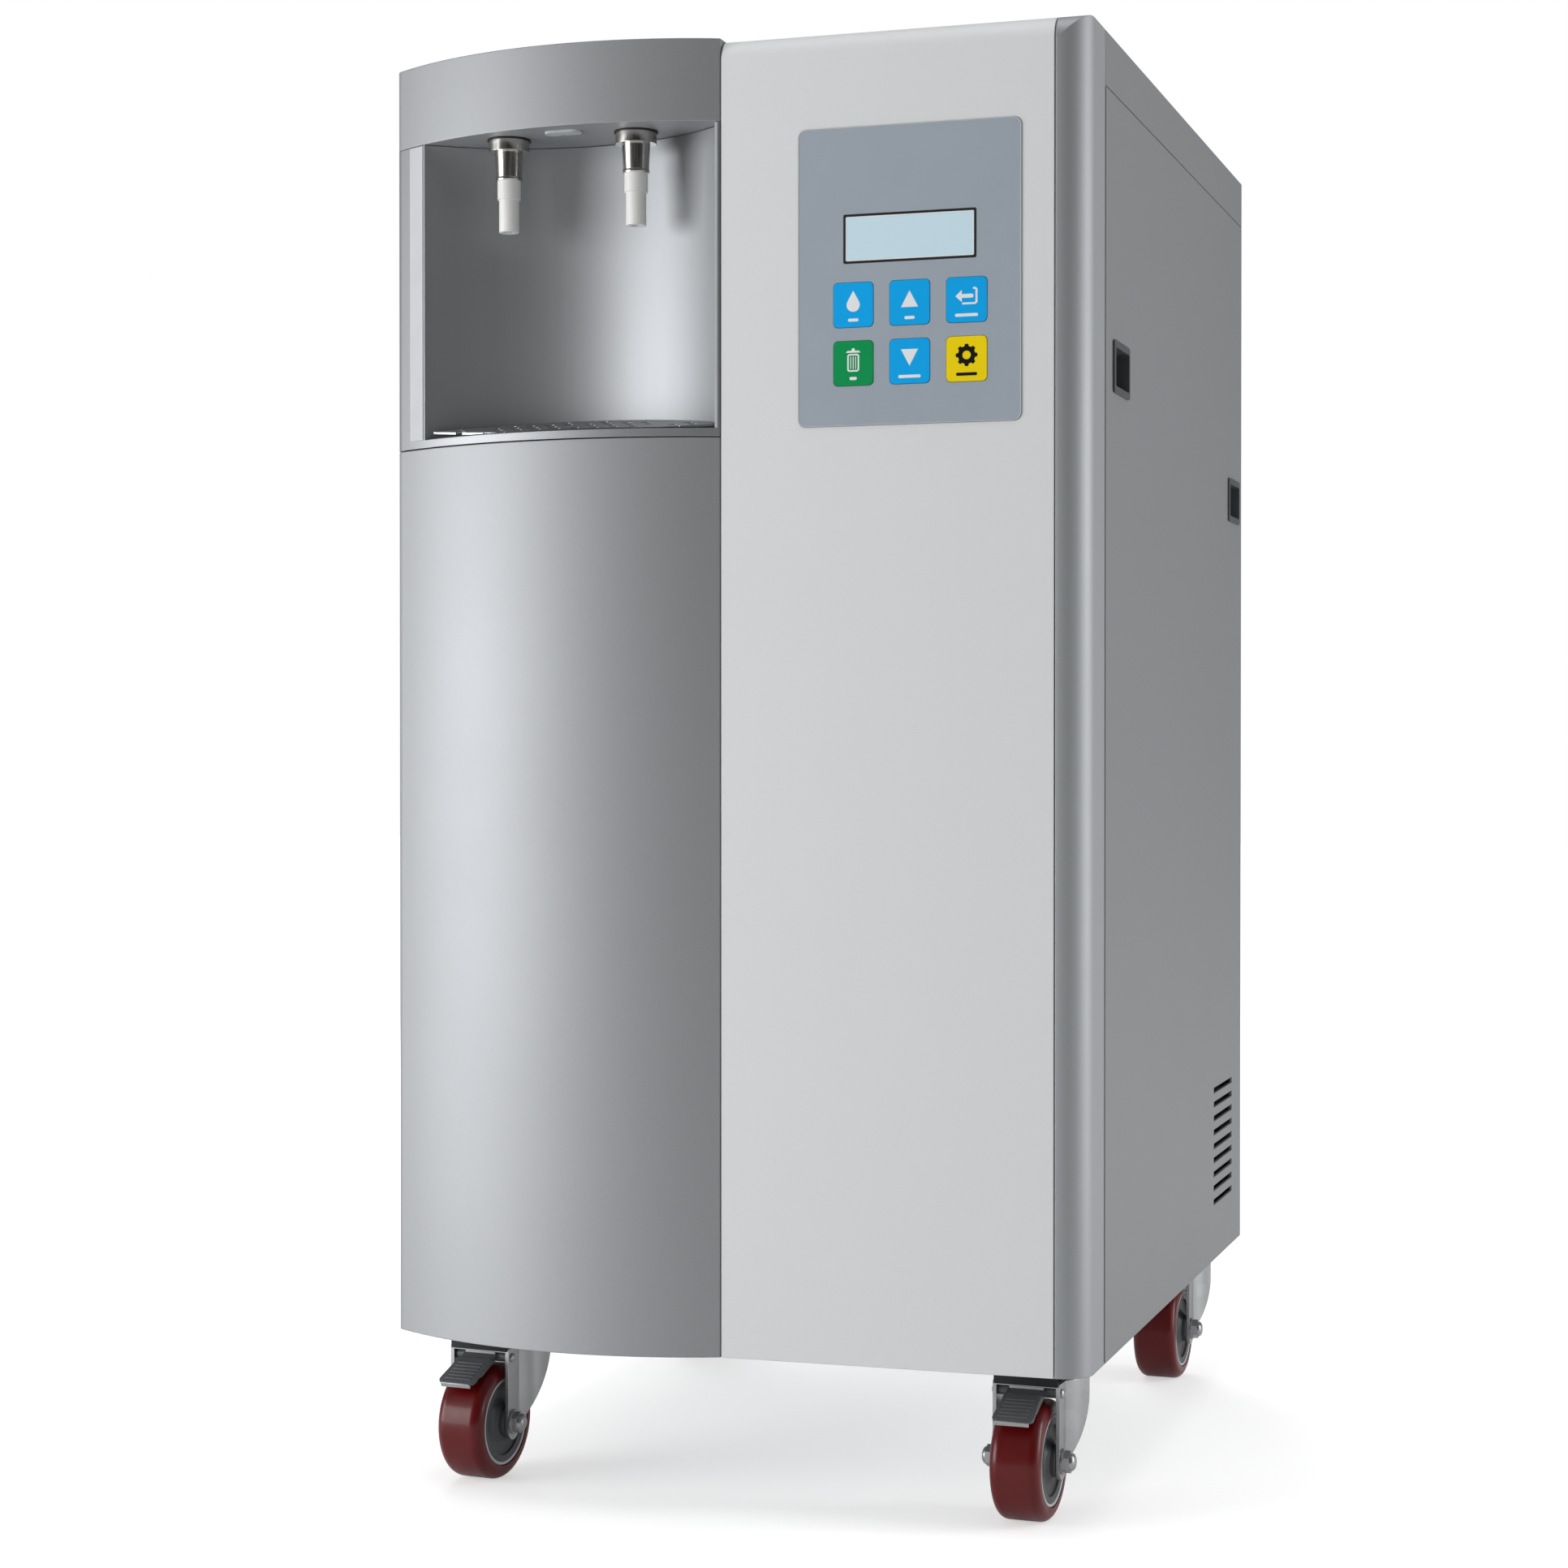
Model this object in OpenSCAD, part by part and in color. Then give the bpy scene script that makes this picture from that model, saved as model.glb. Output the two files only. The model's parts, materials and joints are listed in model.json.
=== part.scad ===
// Floor-standing laboratory water purification system on four braked swivel casters.
// Millimetres. The origin is on the floor under the middle of the object's box, +X is to the
// right as seen from the front, +Y runs to the back and +Z is up. Inside the modules y is
// counted from the flat front panel, and at_front() moves the whole cabinet into place.

/* [Cabinet] */
// Width over the side panels
body_w = 460; // [430:1:500]
// Depth from the flat front to the rear panel
body_d = 578; // [560:1:640]
// Height of the cabinet above the casters
body_h = 813; // [800:1:900]
// Thickness of the sheet-metal panels
sheet = 2; // [1.5:0.1:2.5]
// Width of the seams between outer panels
seam = 0.8; // [0.4:0.1:1.2]
// Depth of the front fascia along the sides
fascia_d = 50; // [47:1:56]
// Height of the top cover's skirt
cover_skirt = 33; // [25:1:40]
// Radius of the rear vertical edges
rear_edge_r = 8; // [5:0.5:12]
// Radius of the rounded top front edge
crown_r = 14; // [8:1:18]
// Width of the corner post on the front
post_w = 20; // [19:0.5:26]
// Radius of the corner post
post_r = 18; // [12:0.5:19]

/* [Bowed front] */
// How far the bow stands in front of the flat panel
bow_rise = 17.6; // [14:0.2:20]
// Distance of the bow's foremost line from the middle seam, as a share of half the width
bow_apex_share = 0.395; // [0.385:0.005:0.44]
// Radius of the bow's left edge
bow_edge_r = 10; // [6:0.5:13]

/* [Dispensing bay] */
// Distance of the bay's floor below the cabinet's top
bay_sill = 244.5; // [223:0.5:273]
// Height of the bay's opening
bay_h = 193.8; // [180:0.2:215]
// Depth of the concave back wall behind the flat front
bay_d = 48; // [42:0.5:54]
// Width of the left jamb
left_jamb = 25.4; // [18:0.2:34]
// Width of the right jamb
right_jamb = 3; // [2.4:0.1:6]
// Height of the front lip
lip_h = 5; // [4:0.2:8]
// Slope of the drip grate in degrees
grate_slope = 12; // [8:0.5:14]
// Diameter of the drip holes
drip_hole_d = 6.5; // [4:0.1:8]
// Distance between drip holes
drip_pitch = 13; // [11:0.5:18]

/* [Nozzles] */
// Distance between the two nozzles
nozzle_gap = 86; // [70:1:100]
// Distance of the nozzles behind the flat front
nozzle_y = 15; // [10:0.5:18]
// Diameter of the nozzle collar
collar_d = 26; // [22:0.5:30]
// Diameter of the nozzle barrel at its top
barrel_d = 17.9; // [16:0.1:20]
// Length of the nozzle barrel under the collar
barrel_len = 18; // [14:0.5:26]
// Diameter of the white tip's lower step
tip_d = 12.7; // [11:0.1:14]
// Length of the white tip
tip_len = 32.6; // [26:0.2:40]

/* [Operating panel] */
// Width of the overlay
overlay_w = 139.6; // [130:0.2:150]
// Height of the overlay
overlay_h = 181; // [172:0.5:190]
// Distance of the overlay's middle below the cabinet's top
overlay_z = 150.5; // [133:0.5:173]
// Width of a key
key_w = 25; // [22:0.5:27]
// Height of a key
key_h = 27; // [24:0.5:28]
// Distance between keys
key_pitch = 35.4; // [33:0.1:38]
// Travel of a key
key_travel = 0.5; // [0.3:0.1:0.8]
// Width of the display
lcd_w = 83; // [76:0.5:90]
// Height of the display
lcd_h = 29.7; // [26:0.1:34]

/* [Side latches] */
// Length of a latch bezel
latch_l = 48.5; // [46:0.5:54]
// Height of a latch bezel
latch_h = 32.6; // [30:0.2:38]
// Depth of the finger cup behind the panel
latch_cup = 14; // [10:0.5:16]
// Distance of the front latch below the cabinet's top
latch_front_z = 201; // [133:1:253]
// How much lower the rear latch sits
latch_drop = 47; // [0:1:80]

/* [Vents] */
// Length of a vent slot
vent_l = 81; // [60:1:100]
// Height of a vent slot
vent_h = 4.2; // [3:0.1:5]
// Distance between vent slots
vent_pitch = 10.3; // [9:0.1:13]
// Number of vent slots
vent_n = 9; // [5:1:12]

/* [Casters] */
// Wheel diameter
wheel_d = 75; // [70:1:85]
// Wheel width
wheel_w = 32; // [28:0.5:36]
// Horizontal distance from the swivel axis to the axle
trail = 28; // [25:0.5:32]
// Distance of the swivel axes from the cabinet's sides
caster_inset = 48; // [46:1:70]
// Distance of the front swivel axes behind the flat front
caster_front = 90; // [80:1:105]
// Distance of the rear swivel axes in front of the rear panel
caster_back = 38; // [36:1:60]
// Thickness of the fork's steel
fork_t = 2.5; // [2:0.1:3]
// Slope of the resting brake pedal in degrees
pedal_slope = 24; // [20:0.5:25]

/* [Water path] */
// Diameter of the pressure tank
tank_d = 220; // [180:1:236]
// Height of the pressure tank's shell
tank_h = 330; // [260:1:360]
// Diameter of a prefilter canister
canister_d = 76; // [60:1:84]
// Diameter of a polishing cartridge
cartridge_d = 72; // [60:1:80]
// Height of the mid shelf above the cabinet's bottom
shelf_z = 420; // [405:1:440]
// Bore of a water port, for its hose
port_bore_d = 9.6; // [6.4:0.1:10]
// How far the water ports stand out at the back
port_reach = 20; // [16:0.5:26]

/* [Hidden] */
$fn = 96;
// Overlap that makes a cut pass clean through a face
eps = 0.5;
// Clearance between pieces that are set into one another
fit = 0.4;
// Clearance between moving faces
run = 0.1;
half_w = body_w / 2;

// Caster heights, from the floor up
caster_head = 26;
plate_t = 3;
cup_gap = 0.4;
wheel_r = wheel_d / 2;
z_body = wheel_d + caster_head;
z_top = z_body + body_h;
crown_drop = 15;
crown_z = z_body - crown_drop;

// The cabinet's place in the object's box
front_y = bow_rise - (bow_rise + body_d + port_reach) / 2;

// Seams and inner levels of the skin
skin_y = fascia_d + seam;
cover_z = z_top - cover_skirt;
panel_top = cover_z - seam;
return_d = 28;
rear_flange = 20;
post_x = half_w - post_w;

// The bow's arc runs through the middle seam and is tangent to its left edge
bow_apex = bow_apex_share * half_w;
bow_r = (bow_apex * bow_apex + bow_rise * bow_rise) / (2 * bow_rise);
bow_cx = -bow_apex;
bow_cy = bow_r - bow_rise;
edge_cx = bow_edge_r - half_w;
edge_cy = bow_cy - sqrt(pow(bow_r - bow_edge_r, 2) - pow(edge_cx - bow_cx, 2));
edge_slope = (edge_cx - bow_cx) / (bow_r - bow_edge_r);

// The bay's concave wall is an arc between its two jambs
z_sill = z_top - bay_sill;
z_ceiling = z_sill + bay_h;
bay_left = left_jamb - half_w;
bay_right = -seam / 2 - right_jamb;
bay_cx = (bay_left + bay_right) / 2;
bay_edge_y = 9;
bay_sag = bay_d - bay_edge_y;
bay_r = (pow((bay_right - bay_left) / 2, 2) + bay_sag * bay_sag) / (2 * bay_sag);
bay_cy = bay_d - bay_r;
tray_wall = 1.2;
tray_h = 4;
tray_floor = z_sill + sheet + tray_wall;
grate_gap = fit + tray_wall + fit;
grate_t = 1.5;
grate_front_y = sheet + grate_gap - bow_rise;
rib_t = 3;
rib_gap = 60;

// Nozzles hang from the bay's ceiling
collar_h = 8;
barrel_tip_d = barrel_d - 1.8;
tip_step = 12;
tip_top_d = tip_d + 2;
shank_r = 6;
shank_reach = 14;
shank_top = z_ceiling + sheet + shank_reach;
nut_h = 5;
lamp_l = 24;
lamp_w = 10;
lamp_y = 0;

// Operating panel
overlay_shift = 15;
overlay_x = post_x / 2 + overlay_shift;
overlay_mid = z_top - overlay_z;
overlay_t = 1.2;
overlay_proud = 0.6;
overlay_r = 5;
window_rim = 4;
key_r = 3;
key_gap = 0.25;
key_proud = 0.3;
key_flange = 1;
key_flange_t = 1;
key_seat = overlay_t - overlay_proud + run;
key_back = key_seat + key_flange_t;
key_row_drop = 17.3;
key_shift = 0.8;
lcd_shift = 0.6;
lcd_lift = 22.7;
key_row_z = overlay_mid - key_row_drop;
key_col_x = overlay_x + key_shift;
lcd_x = overlay_x + lcd_shift;
lcd_z = overlay_mid + lcd_lift;
lcd_rim = 1.4;
lcd_bezel_gap = 0.15;
dome_r = 4;
dome_h = 0.9;
board_y = key_back + key_travel + run + dome_h;
board_t = 1.6;
boss_r = 2.5;

// Side latches
latch_bezel_t = 1.4;
latch_wall = 1.5;
latch_edge = 4.5;
latch_rear_edge = 2.2;
latch_front_back = 46.7;
latch_rear_fore = 47;
latch_front_y = skin_y + latch_front_back;
latch_rear_y = body_d - latch_rear_fore;
latch_open_l = latch_l - latch_edge - latch_rear_edge;
latch_open_h = latch_h - 2 * latch_edge + 0.4;
latch_r = 2.5;
slider_l = 8;
slider_t = 7;

// Vents
vent_back = 89;
vent_up = 40.4;

// Frame inside the skin
pan_t = 3;
pan_h = 20;
pan_x = half_w - sheet - fit;
pan_front = return_d + fit;
pan_rear = body_d - sheet - fit;
frame_leg = 18;
frame_t = 2;
frame_out = pan_x - sheet - fit;
frame_in = frame_out - frame_leg;
frame_front = skin_y + sheet + fit;
frame_rear = pan_rear - sheet - fit;
frame_base = z_body + pan_t;
upright_lift = 9;
upright_base = frame_base + upright_lift;
rail_h = 18;
rail_z = z_top - sheet - rail_h;
joint_gap = 0.2;
deck_z = z_body + shelf_z;
deck_top = deck_z + sheet;
deck_x = frame_in - fit;

// Casters: x, y and resting swivel angle of each
caster_x = half_w - caster_inset;
caster_rear = body_d - caster_back;
CASTERS = [
    [-caster_x, caster_front, -6],
    [caster_x, caster_front, -3],
    [-caster_x, caster_rear, -5],
    [caster_x, caster_rear, -2]
];
top_plate = 60;
bolt_pitch = 46;
bolt_r = 3;
bolt_hole_r = 3.3;
bolt_head_r = 5.4;
bolt_head_h = 4;
cup_r = 24;
king_r = 6;
king_head_r = 9;
king_head_h = 3;
leg_gap = 3;
leg_in = wheel_w / 2 + leg_gap;
leg_out = leg_in + fork_t;
leg_half = 7;
leg_foot = 4.5;
leg_low = wheel_r - leg_foot;
flare_y = 21;
flare_r = sqrt(leg_out * leg_out + flare_y * flare_y);
// The round back's lower edge climbs from the legs to the back in two slopes
back_low = wheel_r + 3;
back_fore = 4;
back_knee = 9;
back_knee_drop = 10;
back_rim = 6;
leg_front = -trail - leg_half;
axle_r = 4;
axle_reach = 5;
washer_r = 8;
washer_t = 1.2;
axle_head_r = 7;
tread_r = 28.5 / 75 * wheel_d;
shoulder_r = 6.5;
bond_gap = 0.2;
core_rim_w = wheel_w - 2;
core_hub_r = 10;
pin_r = 2.2;
barrel_pin_r = 3.2;
pivot_fore = 2;
pivot_gap = 0.5;
pivot_y = -trail - pivot_fore;
pivot_z = crown_z - fork_t - barrel_pin_r - pivot_gap;
pedal_w = 24;
pedal_t = 2.4;
pedal_len = 26.5;
pedal_rise = 0.8;
pedal_tip_r = 3;

// Water path inside the cabinet
tank_x = -75;
tank_back = 168;
tank_y = body_d - tank_back;
tank_edge = 34;
tank_foot_h = 16;
tank_foot_r = tank_d * 0.32;
tank_neck_r = 11;
tank_neck_h = 22;
canister_y = 156;
canister_gap = 96;
canister_h = 250;
canister_x = -100;
cartridge_gap = 12;
cartridge_h = z_ceiling - deck_top - cartridge_gap;
cartridge_y = 150;
membrane_d = 66;
membrane_side = 50;
membrane_x = frame_in - membrane_side;
membrane_y = 330;
membrane_h = 290;
pump_side = 72;
pump_x = frame_in - pump_side;
pump_y = 110;
pump_motor_r = 36;
pump_motor_l = 110;
pump_head = 66;
pump_head_l = 42;
uv_r = 26;
uv_len = 300;
uv_flange = 5;
uv_back = 90;
uv_shift = 60;
uv_foot = 8;
uv_y = body_d - uv_back;
supply_w = 120;
supply_l = 170;
supply_h = 48;
supply_side = 130;
supply_x = frame_in - supply_side;
control_w = 150;
control_l = 120;
control_side = 172;
control_x = frame_in - control_side;
control_hole = 8;
chip_w = 34;
chip_h = 7;
chip_x = 20;
chip_y = 24;
plug_row = [50, 16, 14];
plug_x = 80;
plug_y = 30;
relay_r = 8;
relay_h = 24;
relay_pitch = 34;
relay_x = 30;
relay_y = 86;
// The gaps along the shelf share the free depth between the frame and the lamp housing
control_gap = 42.8;
supply_gap = 46;
lamp_gap = 25;
shelf_free = uv_y - uv_r - uv_flange - frame_front - control_l - supply_l;
gap_share = shelf_free / (control_gap + supply_gap + lamp_gap);
control_y = frame_front + control_gap * gap_share;
supply_y = control_y + control_l + supply_gap * gap_share;
standoff_h = 10;
standoff_r = 4;
valve_w = 30;
valve_l = 26;
valve_h = 22;
coil_r = 10;
tube_r = 3.2;
elbow_r = 6;
inlet_w = 50;
inlet_h = 28;
inlet_side = 70;
inlet_up = 130;
port_side = 60;
port_up = 120;
inlet_x = frame_in - inlet_side;
inlet_z = z_body + inlet_up;
port_x = port_side - frame_in;
port_gap = 60;
port_z = z_body + port_up;
port_r = 8;
port_hex_r = 11;
port_stub = 16;

// Placing helpers
module at_front() {
    translate([0, front_y, 0]) children();
}

// Extrudes a profile drawn in y and z along X
module along_x(from, length) {
    translate([from, 0, 0]) rotate([90, 0, 90]) linear_extrude(length) children();
}

// Extrudes a profile drawn in x and z along Y
module along_y(from, length) {
    translate([0, from + length, 0]) rotate([90, 0, 0]) linear_extrude(length) children();
}

module x_rod(radius, length) {
    rotate([0, 90, 0]) cylinder(r = radius, h = length, center = true);
}

module round_rect(w, h, r) {
    square([w - 2 * r, h], center = true);
    square([w, h - 2 * r], center = true);
    for (sx = [-1, 1], sz = [-1, 1])
        translate([sx * (w / 2 - r), sz * (h / 2 - r)]) circle(r = r);
}

// A rounded block standing in the xz plane
module face_block(x, z, w, h, r, from, to) {
    along_y(from, to - from) translate([x, z]) round_rect(w, h, r);
}

module at_caster(i) {
    translate([CASTERS[i][0], CASTERS[i][1], 0]) rotate([0, 0, CASTERS[i][2]]) children();
}

module at_caster_bolts(i) {
    for (sx = [-1, 1], sy = [-1, 1])
        translate([CASTERS[i][0] + sx * bolt_pitch / 2, CASTERS[i][1] + sy * bolt_pitch / 2, 0])
            children();
}

module at_nozzles() {
    for (sx = [-1, 1]) translate([bay_cx + sx * nozzle_gap / 2, nozzle_y, 0]) children();
}

// The bow in plan, set in from its outer face, from the left side to the middle seam
module bow_plan(inset, back) {
    tangent_x = edge_cx + (bow_edge_r - inset) * edge_slope;
    intersection() {
        translate([bow_cx, bow_cy]) circle(r = bow_r - inset);
        translate([tangent_x, -bow_rise]) square([-seam / 2 - tangent_x, back + bow_rise]);
    }
    translate([edge_cx, edge_cy]) circle(r = bow_edge_r - inset);
    translate([inset - half_w, edge_cy])
        square([edge_cx + half_w - inset, back - edge_cy]);
}

// The bow's sheet in plan, open at the back and thicker by the gap
module bow_wall(gap) {
    difference() {
        bow_plan(0, fascia_d);
        bow_plan(sheet + gap, fascia_d + eps);
    }
}

// The bow in plan as far back as its returns reach, over a width that ends at the middle seam
module bow_return(width) {
    intersection() {
        bow_plan(0, fascia_d);
        translate([-seam / 2 - width, -bow_rise]) square([width, bow_rise + return_d]);
    }
}

// The bow's sheet with a return at the middle seam
module bow_shell() {
    bow_wall(0);
    bow_return(sheet);
}

// The open bay in plan, inside its lip, wall and jambs
module bay_plan(gap) {
    intersection() {
        bow_plan(sheet + gap, fascia_d);
        translate([bay_cx, bay_cy]) circle(r = bay_r - gap);
        translate([-half_w, -bow_rise]) square([half_w + bay_right - gap, bow_rise + bay_d]);
    }
}

// The front's side view with its rounded top edge
module crown_profile(inset, back) {
    translate([inset, z_body]) square([back - inset, body_h - crown_r]);
    translate([crown_r, z_body]) square([back - crown_r, body_h - inset]);
    translate([crown_r, z_top - crown_r]) circle(r = crown_r - inset);
}

// The corner post in plan
module post_plan(from, inset, back) {
    intersection() {
        translate([from, inset]) square([half_w - inset - from, back - inset]);
        union() {
            translate([0, inset]) square([half_w - post_r, back - inset]);
            translate([0, post_r]) square([half_w - inset, back - post_r]);
            translate([half_w - post_r, post_r]) circle(r = post_r - inset);
        }
    }
}

// The cabinet behind the fascia in plan, with its two rounded rear edges
module cabinet_plan(inset, from) {
    inner = half_w - rear_edge_r;
    translate([inset - half_w, from])
        square([body_w - 2 * inset, body_d - rear_edge_r - from]);
    translate([-inner, from]) square([2 * inner, body_d - inset - from]);
    for (sx = [-1, 1])
        translate([sx * inner, body_d - rear_edge_r]) circle(r = rear_edge_r - inset);
}

module base_pan() {
    color("Silver")
    difference() {
        translate([0, 0, z_body]) linear_extrude(pan_h) difference() {
            cabinet_plan(sheet + fit, pan_front);
            bow_wall(fit);
        }
        translate([sheet - pan_x, pan_front + sheet, frame_base])
            cube([2 * (pan_x - sheet), pan_rear - pan_front - 2 * sheet, pan_h]);
        for (i = [0:3]) at_caster_bolts(i)
            translate([0, 0, z_body - eps]) cylinder(r = bolt_hole_r, h = pan_t + 2 * eps);
    }
}

// An angle section whose corner points outwards and forwards
module upright() {
    linear_extrude(z_top - sheet - upright_base) difference() {
        square(frame_leg);
        translate([-eps, frame_t]) square(frame_leg - frame_t + eps);
    }
}

module chassis_frame() {
    rail_x = 2 * (frame_in - joint_gap);
    rail_y = frame_rear - frame_front - 2 * (frame_leg + joint_gap);
    color("LightSteelBlue")
    for (m = [0, 1]) mirror([m, 0, 0]) {
        translate([frame_in, frame_front, upright_base]) upright();
        translate([frame_in, frame_rear, upright_base]) mirror([0, 1, 0]) upright();
        translate([frame_out - frame_t, frame_front + frame_leg + joint_gap, rail_z])
            cube([frame_t, rail_y, rail_h]);
    }
    color("LightSteelBlue")
    for (y = [frame_front, frame_rear - frame_t])
        translate([-rail_x / 2, y, rail_z]) cube([rail_x, frame_t, rail_h]);
}

module mid_shelf() {
    lip = 12;
    color("LightSteelBlue")
    difference() {
        translate([-deck_x, frame_front, deck_top - lip])
            cube([2 * deck_x, frame_rear - frame_front, lip]);
        translate([-deck_x - eps, frame_front + sheet, deck_top - lip - eps])
            cube([2 * (deck_x + eps), frame_rear - frame_front - 2 * sheet, lip - sheet + eps]);
    }
}

// A plain side panel that wraps the rear edge
module side_skin() {
    translate([0, 0, z_body]) linear_extrude(panel_top - z_body) intersection() {
        difference() {
            cabinet_plan(0, skin_y);
            cabinet_plan(sheet, skin_y - eps);
        }
        translate([half_w - rear_flange, skin_y]) square([rear_flange, body_d]);
    }
}

module vent_slots() {
    vent_y = body_d - vent_back - vent_l / 2;
    for (i = [0:vent_n - 1])
        translate([half_w - sheet - eps, vent_y, z_body + vent_up + i * vent_pitch])
            cube([sheet + 2 * eps, vent_l, vent_h]);
}

module left_side_panel() {
    color("LightGray") mirror([1, 0, 0]) difference() {
        side_skin();
        vent_slots();
    }
}

module at_latches() {
    for (p = [[latch_front_y, 0], [latch_rear_y, latch_drop]])
        translate([half_w, p[0], z_top - latch_front_z - p[1]]) children();
}

// A rounded block on the latch face, from its front edge, reaching from x0 to x1
module latch_block(from, length, h, r, x0, x1) {
    along_x(x0, x1 - x0) translate([from + length / 2 - latch_l / 2, 0])
        round_rect(length, h, r);
}

module right_side_panel() {
    cut_l = latch_open_l + 2 * (latch_wall + fit);
    color("LightGray") difference() {
        side_skin();
        vent_slots();
        at_latches() latch_block(latch_edge - latch_wall - fit, cut_l,
            latch_open_h + 2 * (latch_wall + fit), latch_r, -sheet - eps, eps);
    }
}

module latch_housings() {
    cup_l = latch_open_l + 2 * latch_wall;
    cup_h = latch_open_h + 2 * latch_wall;
    color("DimGray") at_latches() difference() {
        union() {
            latch_block(0, latch_l, latch_h, latch_r, 0, latch_bezel_t);
            latch_block(latch_edge - latch_wall, cup_l, cup_h, latch_r, -latch_cup, eps);
        }
        latch_block(latch_edge, latch_open_l, latch_open_h, latch_r - 1,
            latch_wall - latch_cup, latch_bezel_t + eps);
    }
}

// The catch slides to the back inside the cup
module latch_slider(y, drop) {
    color("Gray") translate([half_w, y, z_top - latch_front_z - drop])
        latch_block(latch_edge + run, slider_l, latch_open_h - 2 * run, latch_r,
            latch_wall + run - latch_cup, latch_wall + run - latch_cup + slider_t);
}

module front_latch_slider() {
    latch_slider(latch_front_y, 0);
}

module rear_latch_slider() {
    latch_slider(latch_rear_y, latch_drop);
}

module rear_panel() {
    rear_x = half_w - rear_flange - seam;
    color("LightGray") difference() {
        translate([-rear_x, body_d - sheet, z_body]) cube([2 * rear_x, sheet, panel_top - z_body]);
        face_block(inlet_x, inlet_z, inlet_w - 16 + 2 * fit, inlet_h - 6 + 2 * fit, 2,
            body_d - sheet - eps, body_d + eps);
        for (i = [0, 1]) translate([port_x + i * port_gap, body_d - sheet - eps, port_z])
            rotate([-90, 0, 0]) cylinder(r = port_r + run, h = sheet + 2 * eps);
    }
}

module top_cover() {
    color("LightGray") difference() {
        translate([0, 0, cover_z]) linear_extrude(cover_skirt) cabinet_plan(0, skin_y);
        translate([0, 0, cover_z - eps]) linear_extrude(cover_skirt - sheet + eps)
            cabinet_plan(sheet, skin_y - eps);
    }
}

module corner_post() {
    from = post_x + seam / 2;
    color("Silver") difference() {
        intersection() {
            translate([0, 0, z_body]) linear_extrude(body_h) post_plan(from, 0, fascia_d);
            along_x(from - eps, post_w + eps) crown_profile(0, fascia_d);
        }
        intersection() {
            translate([0, 0, z_body + sheet]) linear_extrude(body_h)
                post_plan(from + sheet, sheet, fascia_d + eps);
            along_x(from, post_w) crown_profile(sheet, fascia_d + eps);
        }
        translate([from - eps, return_d, z_body - eps])
            cube([sheet + 2 * eps, fascia_d, body_h - sheet]);
        translate([from - eps, return_d, z_body - eps])
            cube([half_w - sheet - from + eps, fascia_d, sheet + 2 * eps]);
    }
}

module front_panel() {
    from = seam / 2;
    width = post_x - seam;
    color("WhiteSmoke") difference() {
        along_x(from, width) crown_profile(0, fascia_d);
        intersection() {
            along_x(from + sheet, width - 2 * sheet) crown_profile(sheet, fascia_d + eps);
            translate([0, 0, z_body + sheet]) cube([half_w, body_d, body_h]);
        }
        translate([from - eps, return_d, z_body - eps])
            cube([width + 2 * eps, fascia_d, body_h - sheet]);
        face_block(overlay_x, overlay_mid, overlay_w + 2 * run, overlay_h + 2 * run, overlay_r,
            -eps, overlay_t - overlay_proud);
        face_block(overlay_x, overlay_mid, overlay_w - 2 * window_rim,
            overlay_h - 2 * window_rim, overlay_r, -eps, sheet + eps);
    }
}

module bow_header() {
    color("Silver") difference() {
        union() {
            translate([0, 0, z_ceiling]) linear_extrude(z_top - z_ceiling) bow_shell();
            translate([0, 0, z_ceiling]) linear_extrude(sheet) bow_plan(0, fascia_d);
            translate([0, 0, z_top - sheet]) linear_extrude(sheet) bow_plan(0, fascia_d);
        }
        at_nozzles() translate([0, 0, z_ceiling - eps])
            cylinder(r = shank_r + run, h = sheet + 2 * eps);
        translate([0, 0, z_ceiling - eps]) linear_extrude(sheet + 2 * eps) lamp_plan(run);
    }
}

module bow_lower_panel() {
    top = z_sill - seam;
    color("Silver") union() {
        translate([0, 0, z_body]) linear_extrude(top - z_body) bow_shell();
        translate([0, 0, z_body]) linear_extrude(sheet) bow_return(half_w);
        translate([0, 0, top - sheet]) linear_extrude(sheet) bow_plan(0, fascia_d);
    }
}

module bay_liner() {
    wall_top = z_ceiling - seam / 2;
    color("Gainsboro") union() {
        // Back wall and jambs
        translate([0, 0, z_sill]) linear_extrude(wall_top - z_sill) {
            difference() {
                bow_wall(0);
                bay_void();
            }
            intersection() {
                bow_plan(0, fascia_d + bay_d);
                difference() {
                    translate([bay_cx, bay_cy]) circle(r = bay_r + sheet);
                    bay_void();
                }
                translate([-half_w, -bow_rise]) square([half_w - seam / 2, body_d]);
            }
            bow_return(right_jamb);
        }
        // Floor
        translate([0, 0, z_sill]) linear_extrude(sheet) intersection() {
            bow_plan(0, fascia_d + bay_d);
            translate([bay_cx, bay_cy]) circle(r = bay_r + sheet);
        }
        // Front lip
        translate([0, 0, z_sill]) linear_extrude(lip_h) bow_wall(0);
    }
}

module bay_void() {
    intersection() {
        translate([bay_cx, bay_cy]) circle(r = bay_r);
        translate([-half_w, -body_d]) square([half_w + bay_right, 2 * body_d]);
    }
}

module drip_tray() {
    color("Gray") difference() {
        translate([0, 0, z_sill + sheet]) linear_extrude(tray_h) bay_plan(fit);
        translate([0, 0, tray_floor]) linear_extrude(tray_h) bay_plan(fit + tray_wall);
    }
}

// The sloped plane of the grate's top face
module on_slope() {
    translate([bay_cx, grate_front_y, z_sill + lip_h]) rotate([grate_slope, 0, 0]) children();
}

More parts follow.
